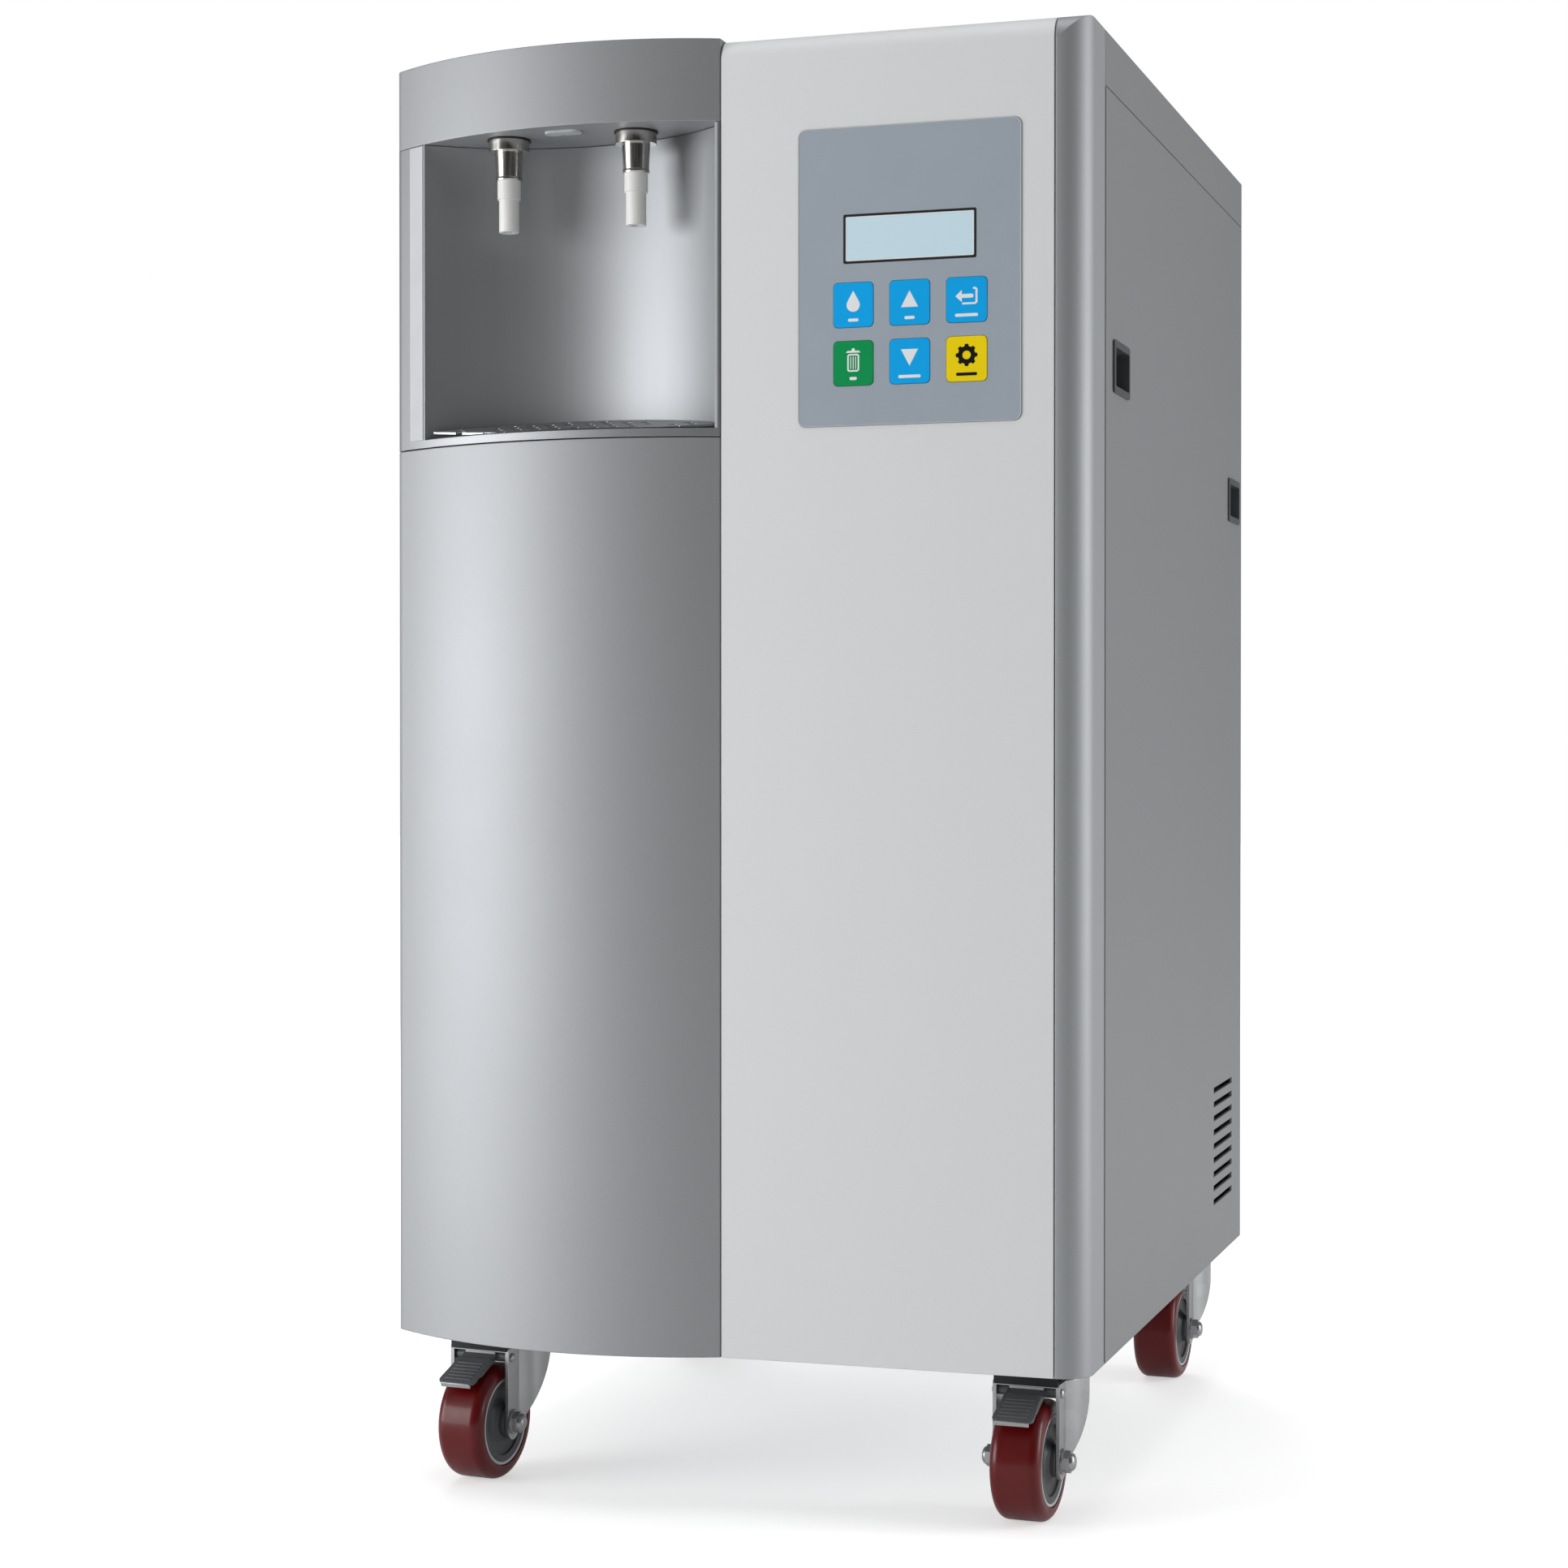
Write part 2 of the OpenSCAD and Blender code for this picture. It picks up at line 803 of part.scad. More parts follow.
module drip_grate() {
    across = floor((bay_right - bay_left) / 2 / drip_pitch) - 1;
    deep = floor((bay_d - grate_front_y) / drip_pitch);
    margin = drip_hole_d / 2 + 3;
    slab = body_w;
    color("LightGray") difference() {
        intersection() {
            translate([0, 0, tray_floor]) linear_extrude(bay_h / 2) bay_plan(grate_gap);
            union() {
                on_slope() translate([-slab / 2, -slab / 2, -grate_t]) cube([slab, slab, grate_t]);
                intersection() {
                    on_slope() translate([-slab / 2, -slab / 2, -slab])
                        cube([slab, slab, slab - grate_t / 2]);
                    for (i = [-1:1]) translate([bay_cx + i * rib_gap - rib_t / 2, 0, tray_floor])
                        cube([rib_t, bay_d, bay_h]);
                }
            }
        }
        for (i = [-across:across], j = [0:deep]) {
            x = (i + (j % 2) / 2) * drip_pitch;
            y = margin + j * drip_pitch * 0.87;
            front = sqrt(pow(bow_r, 2) - pow(bay_cx + x - bow_cx, 2)) - bow_cy;
            back = sqrt(pow(bay_r, 2) - pow(x, 2)) + bay_cy - grate_gap - margin;
            clear = abs(abs(x) - rib_gap) > margin && abs(x) > margin;
            if (grate_front_y + y > margin + grate_front_y - front - bow_rise
                && grate_front_y + y < back && clear)
                on_slope() translate([x, y, -grate_t - eps])
                    cylinder(r = drip_hole_d / 2, h = grate_t + 2 * eps);
        }
    }
}

module nozzle_barrels() {
    color("Silver") at_nozzles() difference() {
        union() {
            translate([0, 0, z_ceiling - collar_h]) cylinder(d = collar_d, h = collar_h);
            translate([0, 0, z_ceiling - collar_h - barrel_len])
                cylinder(d1 = barrel_tip_d, d2 = barrel_d, h = barrel_len + eps);
            translate([0, 0, z_ceiling - eps]) cylinder(r = shank_r, h = shank_top - z_ceiling + eps);
            translate([0, 0, z_ceiling + sheet]) cylinder(r = 10, h = nut_h, $fn = 6);
        }
        translate([0, 0, z_ceiling - collar_h - barrel_len - eps])
            cylinder(r = shank_r / 2, h = body_h);
    }
}

module nozzle_tips() {
    tip_top = z_ceiling - collar_h - barrel_len;
    color("White") at_nozzles() difference() {
        union() {
            translate([0, 0, tip_top - tip_step]) cylinder(d = tip_top_d, h = tip_step);
            translate([0, 0, tip_top - tip_len]) cylinder(d = tip_d, h = tip_len - tip_step + eps);
        }
        translate([0, 0, tip_top - tip_len - eps]) cylinder(r = shank_r / 2, h = tip_len + 2 * eps);
    }
}

module lamp_plan(gap) {
    translate([bay_cx, lamp_y]) {
        square([lamp_l - lamp_w, lamp_w + 2 * gap], center = true);
        for (sx = [-1, 1]) translate([sx * (lamp_l - lamp_w) / 2, 0]) circle(r = lamp_w / 2 + gap);
    }
}

module bay_lamp() {
    color("White") union() {
        translate([0, 0, z_ceiling - 1.5]) linear_extrude(sheet + 1.5) lamp_plan(0);
        translate([0, 0, z_ceiling + sheet]) linear_extrude(4) lamp_plan(2);
    }
}

// Middle of a key, by column and row
function key_at(col, row) = [key_col_x + (col - 1) * key_pitch, key_row_z - row * key_pitch];

module keypad_overlay() {
    front = -overlay_proud;
    back = overlay_t - overlay_proud;
    color("SlateGray") difference() {
        face_block(overlay_x, overlay_mid, overlay_w, overlay_h, overlay_r, front, back);
        for (col = [0:2], row = [0:1])
            face_block(key_at(col, row)[0], key_at(col, row)[1], key_w + 2 * key_gap,
                key_h + 2 * key_gap, key_r, front - eps, back + eps);
        face_block(lcd_x, lcd_z, lcd_w + 2 * run, lcd_h + 2 * run, 1, front - eps, back + eps);
    }
}

module lcd_gasket() {
    color("Black") difference() {
        face_block(lcd_x, lcd_z, lcd_w, lcd_h, 1, -overlay_proud - run, overlay_t - overlay_proud);
        face_block(lcd_x, lcd_z, lcd_w - 2 * lcd_rim, lcd_h - 2 * lcd_rim, 0.8,
            -overlay_proud - eps, overlay_t);
    }
}

module lcd_screen() {
    glass_w = lcd_w - 2 * (lcd_rim + lcd_bezel_gap);
    glass_h = lcd_h - 2 * (lcd_rim + lcd_bezel_gap);
    color("LightBlue") union() {
        face_block(lcd_x, lcd_z, glass_w, glass_h, 0.8, -overlay_proud, key_seat + eps);
        face_block(lcd_x, lcd_z, lcd_w + 6, lcd_h + 2, 1, key_seat, board_y);
    }
}

module key_cap(col, row, tint) {
    color(tint) union() {
        face_block(key_at(col, row)[0], key_at(col, row)[1], key_w, key_h, key_r,
            -overlay_proud - key_proud, key_seat + key_flange_t / 2);
        face_block(key_at(col, row)[0], key_at(col, row)[1], key_w + 2 * key_flange,
            key_h + 2 * key_flange, key_r, key_seat, key_back);
    }
}

module key_drop() {
    key_cap(0, 0, "DeepSkyBlue");
}

module key_up() {
    key_cap(1, 0, "DeepSkyBlue");
}

module key_enter() {
    key_cap(2, 0, "DeepSkyBlue");
}

module key_cartridge() {
    key_cap(0, 1, "SeaGreen");
}

module key_down() {
    key_cap(1, 1, "DeepSkyBlue");
}

module key_menu() {
    key_cap(2, 1, "Gold");
}

module key_board() {
    board_w = overlay_w - window_rim;
    board_h = overlay_h - window_rim;
    inset = 3;
    color("DarkGreen") union() {
        face_block(overlay_x, overlay_mid, board_w, board_h, 2, board_y, board_y + board_t);
        for (col = [0:2], row = [0:1])
            translate([key_at(col, row)[0], key_back + key_travel + run, key_at(col, row)[1]])
                rotate([-90, 0, 0]) cylinder(r = dome_r, h = board_y + board_t / 2 - key_back
                    - key_travel - run);
        for (sx = [-1, 1], sz = [-1, 1])
            translate([overlay_x + sx * (board_w / 2 - inset), sheet,
                overlay_mid + sz * (board_h / 2 - inset)])
                rotate([-90, 0, 0]) cylinder(r = boss_r, h = board_y - sheet + board_t / 2);
    }
}

module power_inlet() {
    depth = 26;
    wall = 2;
    color("Black") difference() {
        union() {
            face_block(inlet_x, inlet_z, inlet_w, inlet_h, 3, body_d, body_d + 3);
            face_block(inlet_x, inlet_z, inlet_w - 16, inlet_h - 6, 2, body_d - depth, body_d + eps);
        }
        face_block(inlet_x, inlet_z, inlet_w - 16 - 2 * wall, inlet_h - 6 - 2 * wall, 1,
            body_d - depth + wall, body_d + 3 + eps);
    }
}

module water_ports() {
    color("White") for (i = [0, 1]) translate([port_x + i * port_gap, body_d, port_z])
        rotate([-90, 0, 0]) difference() {
            union() {
                translate([0, 0, -sheet - port_stub]) cylinder(r = port_r, h = sheet + port_stub + eps);
                cylinder(r = port_hex_r, h = 7, $fn = 6);
                translate([0, 0, 7 - eps]) cylinder(r = port_r, h = port_reach - 7 + eps);
                translate([0, 0, -sheet - 5]) cylinder(r = port_hex_r, h = 5, $fn = 6);
            }
            translate([0, 0, -sheet]) cylinder(d = port_bore_d, h = port_reach + sheet + eps);
        }
}

module pressure_tank() {
    color("RoyalBlue") translate([tank_x, tank_y, frame_base]) difference() {
        union() {
            translate([0, 0, tank_foot_h]) rotate_extrude() {
                square([tank_d / 2 - tank_edge, tank_h]);
                translate([0, tank_edge]) square([tank_d / 2, tank_h - 2 * tank_edge]);
                for (z = [tank_edge, tank_h - tank_edge])
                    translate([tank_d / 2 - tank_edge, z]) circle(r = tank_edge);
            }
            cylinder(r = tank_foot_r, h = tank_foot_h + tank_edge);
            translate([0, 0, tank_foot_h + tank_h - eps])
                cylinder(r = tank_neck_r, h = tank_neck_h + eps);
        }
        translate([0, 0, -eps]) cylinder(r = tank_foot_r - sheet, h = tank_foot_h + eps - sheet);
    }
}

// A standing filter body with its head and two side ports
module filter_body(d, h) {
    head = 46;
    waist = 6;
    stub = 14;
    cylinder(d = d - waist, h = h - head + eps);
    translate([0, 0, h - head]) cylinder(d = d, h = head);
    translate([0, 0, h - head / 2]) x_rod(8, d + stub);
}

module prefilter_canisters() {
    color("White") for (sx = [-1, 1])
        translate([canister_x + sx * canister_gap / 2, canister_y, frame_base])
            filter_body(canister_d, canister_h);
}

module polishing_cartridges() {
    color("SteelBlue") at_nozzles() translate([0, cartridge_y - nozzle_y, deck_top]) {
        cylinder(d = cartridge_d, h = cartridge_h - 20);
        cylinder(d = cartridge_d / 2, h = cartridge_h - 8);
        cylinder(r = 8, h = cartridge_h);
    }
}

module membrane_housing() {
    color("White") translate([membrane_x, membrane_y, frame_base]) union() {
        cylinder(d = membrane_d, h = membrane_h);
        cylinder(d = membrane_d + 8, h = 30);
        translate([0, 0, membrane_h - eps]) cylinder(d = membrane_d + 8, h = 42);
        translate([0, 0, membrane_h + 20]) x_rod(7, membrane_d + 22);
    }
}

module booster_pump() {
    axis_z = frame_base + pump_motor_r + 8;
    color("DimGray") translate([pump_x, pump_y, 0]) union() {
        translate([-pump_head / 2, 0, axis_z - pump_head / 2]) cube([pump_head, pump_head_l, pump_head]);
        translate([0, pump_head_l - eps, axis_z]) rotate([-90, 0, 0])
            cylinder(r = pump_motor_r, h = pump_motor_l);
        translate([-pump_head / 2, pump_head_l / 2, frame_base]) cube([pump_head, pump_motor_l, 3]);
        translate([-pump_head / 3, pump_head_l + 10, frame_base + 3 - eps])
            cube([pump_head / 1.5, pump_motor_l / 2, pump_motor_r / 2]);
        translate([0, pump_head_l / 2, axis_z]) x_rod(7, pump_head + 30);
    }
}

module uv_lamp_housing() {
    saddle_t = 6;
    cap_l = 16;
    color("Silver") translate([bay_cx + uv_shift, uv_y, deck_top + uv_r + uv_foot]) union() {
        x_rod(uv_r, uv_len);
        for (sx = [-1, 1]) {
            translate([sx * (uv_len - cap_l) / 2, 0, 0]) x_rod(uv_r + uv_flange, cap_l);
            translate([sx * uv_len / 4 - saddle_t / 2, -uv_r / 2, -uv_r - uv_foot])
                cube([saddle_t, uv_r, uv_r + uv_foot]);
        }
    }
}

module power_supply() {
    color("Silver") translate([supply_x, supply_y, deck_top]) cube([supply_w, supply_l, supply_h]);
}

module control_board() {
    color("DarkGreen") translate([control_x, control_y, deck_top]) union() {
        translate([0, 0, standoff_h]) cube([control_w, control_l, board_t]);
        for (x = [control_hole, control_w - control_hole], y = [control_hole, control_l - control_hole])
            translate([x, y, 0]) cylinder(r = standoff_r, h = standoff_h + eps);
        translate([chip_x, chip_y, standoff_h]) cube([chip_w, chip_w, chip_h]);
        translate([plug_x, plug_y, standoff_h]) cube(plug_row);
        for (i = [0:2]) translate([relay_x + i * relay_pitch, relay_y, standoff_h])
            cylinder(r = relay_r, h = relay_h);
    }
}

module dispense_valves() {
    base = z_ceiling + sheet + nut_h + 2;
    color("DarkSlateGray") at_nozzles() difference() {
        union() {
            translate([-valve_w / 2, -valve_l / 2, base]) cube([valve_w, valve_l, valve_h]);
            translate([0, 0, base + valve_h - eps]) cylinder(r = coil_r, h = 6);
        }
        translate([0, 0, base - eps]) cylinder(r = shank_r + run, h = shank_top - base + eps + run);
    }
}

// A hose from each valve back and down to its cartridge, with an elbow fitting in the corner
module dispense_tubes() {
    high = z_ceiling + sheet + nut_h + 2 + valve_h / 2;
    start = valve_l / 2 + run;
    reach = cartridge_y - nozzle_y - start;
    low = deck_top + cartridge_h + run;
    color("Azure") at_nozzles() union() {
        translate([0, start, high]) rotate([-90, 0, 0]) cylinder(r = tube_r, h = reach);
        translate([0, start + reach, high]) sphere(r = elbow_r);
        translate([0, start + reach, low]) cylinder(r = tube_r, h = high - low);
    }
}

module caster_plates() {
    cup_z = crown_z + cup_gap;
    king_foot = crown_z - fork_t - king_head_h - cup_gap;
    color("Silver") for (i = [0:3]) translate([CASTERS[i][0], CASTERS[i][1], 0]) difference() {
        union() {
            translate([-top_plate / 2, -top_plate / 2, z_body - plate_t])
                cube([top_plate, top_plate, plate_t]);
            translate([0, 0, cup_z]) cylinder(r = cup_r, h = z_body - plate_t - cup_z + eps);
            translate([0, 0, king_foot]) cylinder(r = king_r, h = z_body - king_foot - eps);
            translate([0, 0, king_foot]) cylinder(r = king_head_r, h = king_head_h);
        }
        for (sx = [-1, 1], sy = [-1, 1])
            translate([sx * bolt_pitch / 2, sy * bolt_pitch / 2, z_body - plate_t - eps])
                cylinder(r = bolt_hole_r, h = plate_t + 2 * eps);
    }
}

module caster_bolts() {
    low = z_body - plate_t - bolt_head_h;
    color("DimGray") for (i = [0:3]) at_caster_bolts(i) union() {
        translate([0, 0, low]) cylinder(r = bolt_r, h = bolt_head_h + plate_t + pan_t + 8);
        translate([0, 0, low]) cylinder(r = bolt_head_r, h = bolt_head_h, $fn = 6);
        translate([0, 0, frame_base]) cylinder(r = bolt_head_r, h = 5, $fn = 6);
    }
}

// One leg of the fork in y and z
module leg_profile() {
    translate([-trail, leg_low]) circle(r = leg_half);
    polygon([
        [leg_front, leg_low], [leg_front, crown_z], [-flare_y, crown_z],
        [-flare_y, back_low], [leg_half - trail, leg_low]
    ]);
}

// The round back in y and z, above its sloping lower edge
module back_profile() {
    far = flare_r + eps;
    polygon([
        [-far, back_low], [back_fore - flare_y, back_low], [back_knee, crown_z - back_knee_drop],
        [far, crown_z - back_rim], [far, crown_z], [-far, crown_z]
    ]);
}

// The fork's bent sheet in plan: two legs and a round back
module fork_plan(inset) {
    translate([inset - leg_out, leg_front]) square([2 * (leg_out - inset), -flare_y - leg_front]);
    circle(r = flare_r - inset);
}

module fork() {
    color("Silver") difference() {
        union() {
            // Legs
            for (sx = [-1, 1]) along_x(sx * (leg_in + leg_out) / 2 - fork_t / 2, fork_t) leg_profile();
            // Round back
            intersection() {
                translate([0, 0, wheel_r]) linear_extrude(crown_z - wheel_r) difference() {
                    circle(r = flare_r);
                    circle(r = flare_r - fork_t);
                    translate([-flare_r, -flare_r - flare_y])
                        square([2 * flare_r, flare_r + eps - fork_t]);
                    translate([-leg_in, -flare_r]) square([2 * leg_in, flare_r]);
                }
                along_x(-flare_r - eps, 2 * (flare_r + eps)) back_profile();
            }
            // Crown
            translate([0, 0, crown_z - fork_t]) linear_extrude(fork_t) fork_plan(0);
        }
        translate([0, 0, crown_z - fork_t - eps]) cylinder(r = king_r + run, h = fork_t + 2 * eps);
        translate([0, -trail, wheel_r]) x_rod(axle_r + run, 4 * leg_out);
        translate([0, pivot_y, pivot_z]) x_rod(pin_r + run, 4 * leg_out);
    }
    // Axle bolt with its washers, head and nut
    color("Gainsboro") translate([0, -trail, wheel_r]) union() {
        x_rod(axle_r, 2 * (leg_out + axle_reach));
        for (sx = [-1, 1]) {
            translate([sx * (leg_out + washer_t / 2 + run), 0, 0]) x_rod(washer_r, washer_t);
            translate([sx * (leg_out + run + washer_t + 2), 0, 0]) rotate([0, 90, 0])
                cylinder(r = axle_head_r, h = 4, center = true, $fn = 6);
        }
    }
    // Pedal pin
    color("Gainsboro") translate([0, pivot_y, pivot_z]) x_rod(pin_r, 2 * leg_out + 1);
}

module tyre() {
    inner = tread_r + bond_gap;
    band = wheel_r - shoulder_r;
    flat = wheel_w - 2 * shoulder_r;
    color("Maroon") translate([0, -trail, wheel_r]) rotate([0, 90, 0]) rotate_extrude()
        intersection() {
            translate([inner, -wheel_w / 2]) square([wheel_r - inner, wheel_w]);
            union() {
                translate([0, -wheel_w / 2]) square([band, wheel_w]);
                translate([0, -flat / 2]) square([wheel_r, flat]);
                for (s = [-1, 1]) translate([band, s * flat / 2]) circle(r = shoulder_r);
            }
        }
}

module core() {
    rim_t = 6.5;
    web = 10;
    bore = axle_r + 0.06;
    hub_w = 2 * (leg_in - 0.3);
    color("DimGray") translate([0, -trail, wheel_r]) rotate([0, 90, 0]) rotate_extrude() {
        translate([bore, -hub_w / 2]) square([core_hub_r - bore, hub_w]);
        translate([bore, -web / 2]) square([tread_r - bore, web]);
        translate([tread_r - rim_t, -core_rim_w / 2]) square([rim_t, core_rim_w]);
    }
}

module pedal() {
    color("DarkSlateGray") translate([0, pivot_y, pivot_z]) rotate([pedal_slope, 0, 0])
        difference() {
            union() {
                x_rod(barrel_pin_r, 2 * (leg_in - 0.4));
                translate([0, 0, pedal_rise]) linear_extrude(pedal_t) {
                    translate([0, -pedal_len / 2]) round_rect(pedal_w, pedal_len, pedal_tip_r);
                    translate([-pedal_w / 2, -pedal_len / 2]) square([pedal_w, pedal_len / 2]);
                }
            }
            x_rod(pin_r + 0.05, 4 * leg_out);
        }
}

at_front() base_pan();
at_front() chassis_frame();
at_front() mid_shelf();
at_front() left_side_panel();
at_front() right_side_panel();
at_front() latch_housings();
at_front() front_latch_slider();
at_front() rear_latch_slider();
at_front() rear_panel();
at_front() top_cover();
at_front() corner_post();
at_front() front_panel();
at_front() bow_header();
at_front() bow_lower_panel();
at_front() bay_liner();
at_front() drip_tray();
at_front() drip_grate();
at_front() nozzle_barrels();
at_front() nozzle_tips();
at_front() bay_lamp();
at_front() keypad_overlay();
at_front() lcd_gasket();
at_front() lcd_screen();
at_front() key_board();
at_front() key_drop();
at_front() key_up();
at_front() key_enter();
at_front() key_cartridge();
at_front() key_down();
at_front() key_menu();
at_front() power_inlet();
at_front() water_ports();
at_front() pressure_tank();
at_front() booster_pump();
at_front() membrane_housing();
at_front() prefilter_canisters();
at_front() polishing_cartridges();
at_front() uv_lamp_housing();
at_front() power_supply();
at_front() control_board();
at_front() dispense_valves();
at_front() dispense_tubes();
at_front() caster_plates();
at_front() caster_bolts();
at_front() at_caster(0) fork();  // front_left_fork
at_front() at_caster(0) tyre();  // front_left_tyre
at_front() at_caster(0) core();  // front_left_core
at_front() at_caster(0) pedal();  // front_left_pedal
at_front() at_caster(1) fork();  // front_right_fork
at_front() at_caster(1) tyre();  // front_right_tyre
at_front() at_caster(1) core();  // front_right_core
at_front() at_caster(1) pedal();  // front_right_pedal
at_front() at_caster(2) fork();  // rear_left_fork
at_front() at_caster(2) tyre();  // rear_left_tyre
at_front() at_caster(2) core();  // rear_left_core
at_front() at_caster(2) pedal();  // rear_left_pedal
at_front() at_caster(3) fork();  // rear_right_fork
at_front() at_caster(3) tyre();  // rear_right_tyre
at_front() at_caster(3) core();  // rear_right_core
at_front() at_caster(3) pedal();  // rear_right_pedal
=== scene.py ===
"""Looks of a floor-standing laboratory water purification system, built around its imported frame.

Metres, in the frame's own axes: +X to the right as seen from the front, +Y to the back, +Z up.
"""
import json
import math

import bmesh
import bpy
from mathutils import Matrix, Vector


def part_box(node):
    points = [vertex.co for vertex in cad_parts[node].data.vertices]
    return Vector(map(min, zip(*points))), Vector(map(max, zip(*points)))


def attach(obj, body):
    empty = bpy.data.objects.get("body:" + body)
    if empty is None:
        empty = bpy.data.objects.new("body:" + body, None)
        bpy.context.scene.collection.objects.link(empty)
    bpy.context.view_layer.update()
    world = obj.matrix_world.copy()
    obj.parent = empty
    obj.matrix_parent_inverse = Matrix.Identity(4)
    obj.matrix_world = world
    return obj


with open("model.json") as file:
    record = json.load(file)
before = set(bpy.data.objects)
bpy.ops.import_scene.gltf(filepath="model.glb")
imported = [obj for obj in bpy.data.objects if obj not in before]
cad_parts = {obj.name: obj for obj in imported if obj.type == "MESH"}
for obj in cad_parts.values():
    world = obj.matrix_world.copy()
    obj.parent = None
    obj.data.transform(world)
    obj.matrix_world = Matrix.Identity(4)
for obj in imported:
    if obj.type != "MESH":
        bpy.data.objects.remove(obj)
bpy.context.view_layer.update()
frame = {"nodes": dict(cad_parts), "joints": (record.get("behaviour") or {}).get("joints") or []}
nodes = frame["nodes"]
joints = {joint["name"]: joint for joint in frame["joints"]}

MM = 0.001
CASTERS = ("front_left", "front_right", "rear_left", "rear_right")
UP = Vector((0, 0, 1))
SQUARE = ((-1, -1), (1, -1), (1, 1), (-1, 1))
SMOOTH_ANGLE = 35

# Camera at the photograph's viewing angle: place in metres, turn in degrees, lens and sensor in millimetres
CAMERA_PLACE = (0.60002, -2.03974, 0.47281)
CAMERA_TURN = (89.456, 0.0, 17.72)
CAMERA_LENS = 68.86
CAMERA_SENSOR = 36.0

# Lamps: azimuth in degrees from the front, distance, height, (width, tallness) in metres, and power in watts
LAMP_AIM = Vector((0, 0, 0.5))
LAMPS = {
    "key_lamp": {"azimuth": -51, "distance": 2.5, "height": 0.55, "size": (1.5, 1.3), "power": 36},
    "side_lamp": {"azimuth": 101, "distance": 2.6, "height": 0.8, "size": (0.5, 1.5), "power": 21},
    "fill_lamp": {"azimuth": 78, "distance": 1.1, "height": 0.7, "size": (0.25, 1.2), "power": 1.4},
    "back_lamp": {"azimuth": 205, "distance": 2.8, "height": 1.5, "size": (1.6, 1.6), "power": 36},
    "top_lamp": {"azimuth": 10, "distance": 0.6, "height": 2.7, "size": (1.4, 1.4), "power": 16},
}

# Surroundings: soft light from all round, and what polished surfaces see, with a dark card in one direction
WORLD_DIFFUSE = 0.34
WORLD_GLOSS = 0.24
DARK_CARD_GLOSS = 0.03
DARK_CARD_AZIMUTH = 30
DARK_CARD_RISE = 14
DARK_CARD_REACH = 0.15

# Floor: it glows white for the camera, and less within the near distance, so that the shadow shows there
FLOOR_HALF = 14.0
FLOOR_TONE = (0.80, 0.80, 0.80)
FLOOR_NEAR_GLOW = 0.52
FLOOR_NEAR = 0.45
FLOOR_FAR = 1.5
FLOOR_GLOSS = 0.30

# Soft edges that the shading gives to each kind of surface
SHEET_EDGE = 0.9 * MM
MOULDED_EDGE = 0.6 * MM
PLATED_EDGE = 0.5 * MM
BRUSHED_EDGE = 0.35 * MM
FILM_EDGE = 0.25 * MM
RUBBER_EDGE = 0.2 * MM

# Most values of a noise texture lie between these two
NOISE_LOW = 0.3
NOISE_HIGH = 0.7

FINISHES = {}


def srgb(red, green, blue):
    """A colour picked in 0 to 255 display values, as linear light."""
    def linear(value):
        share = value / 255
        return share / 12.92 if share <= 0.04045 else ((share + 0.055) / 1.055) ** 2.4
    return (linear(red), linear(green), linear(blue), 1.0)


def shade(colour, factor):
    """A colour made lighter or darker, without passing full white."""
    return tuple(min(1.0, channel * factor) for channel in colour[:3]) + (1.0,)


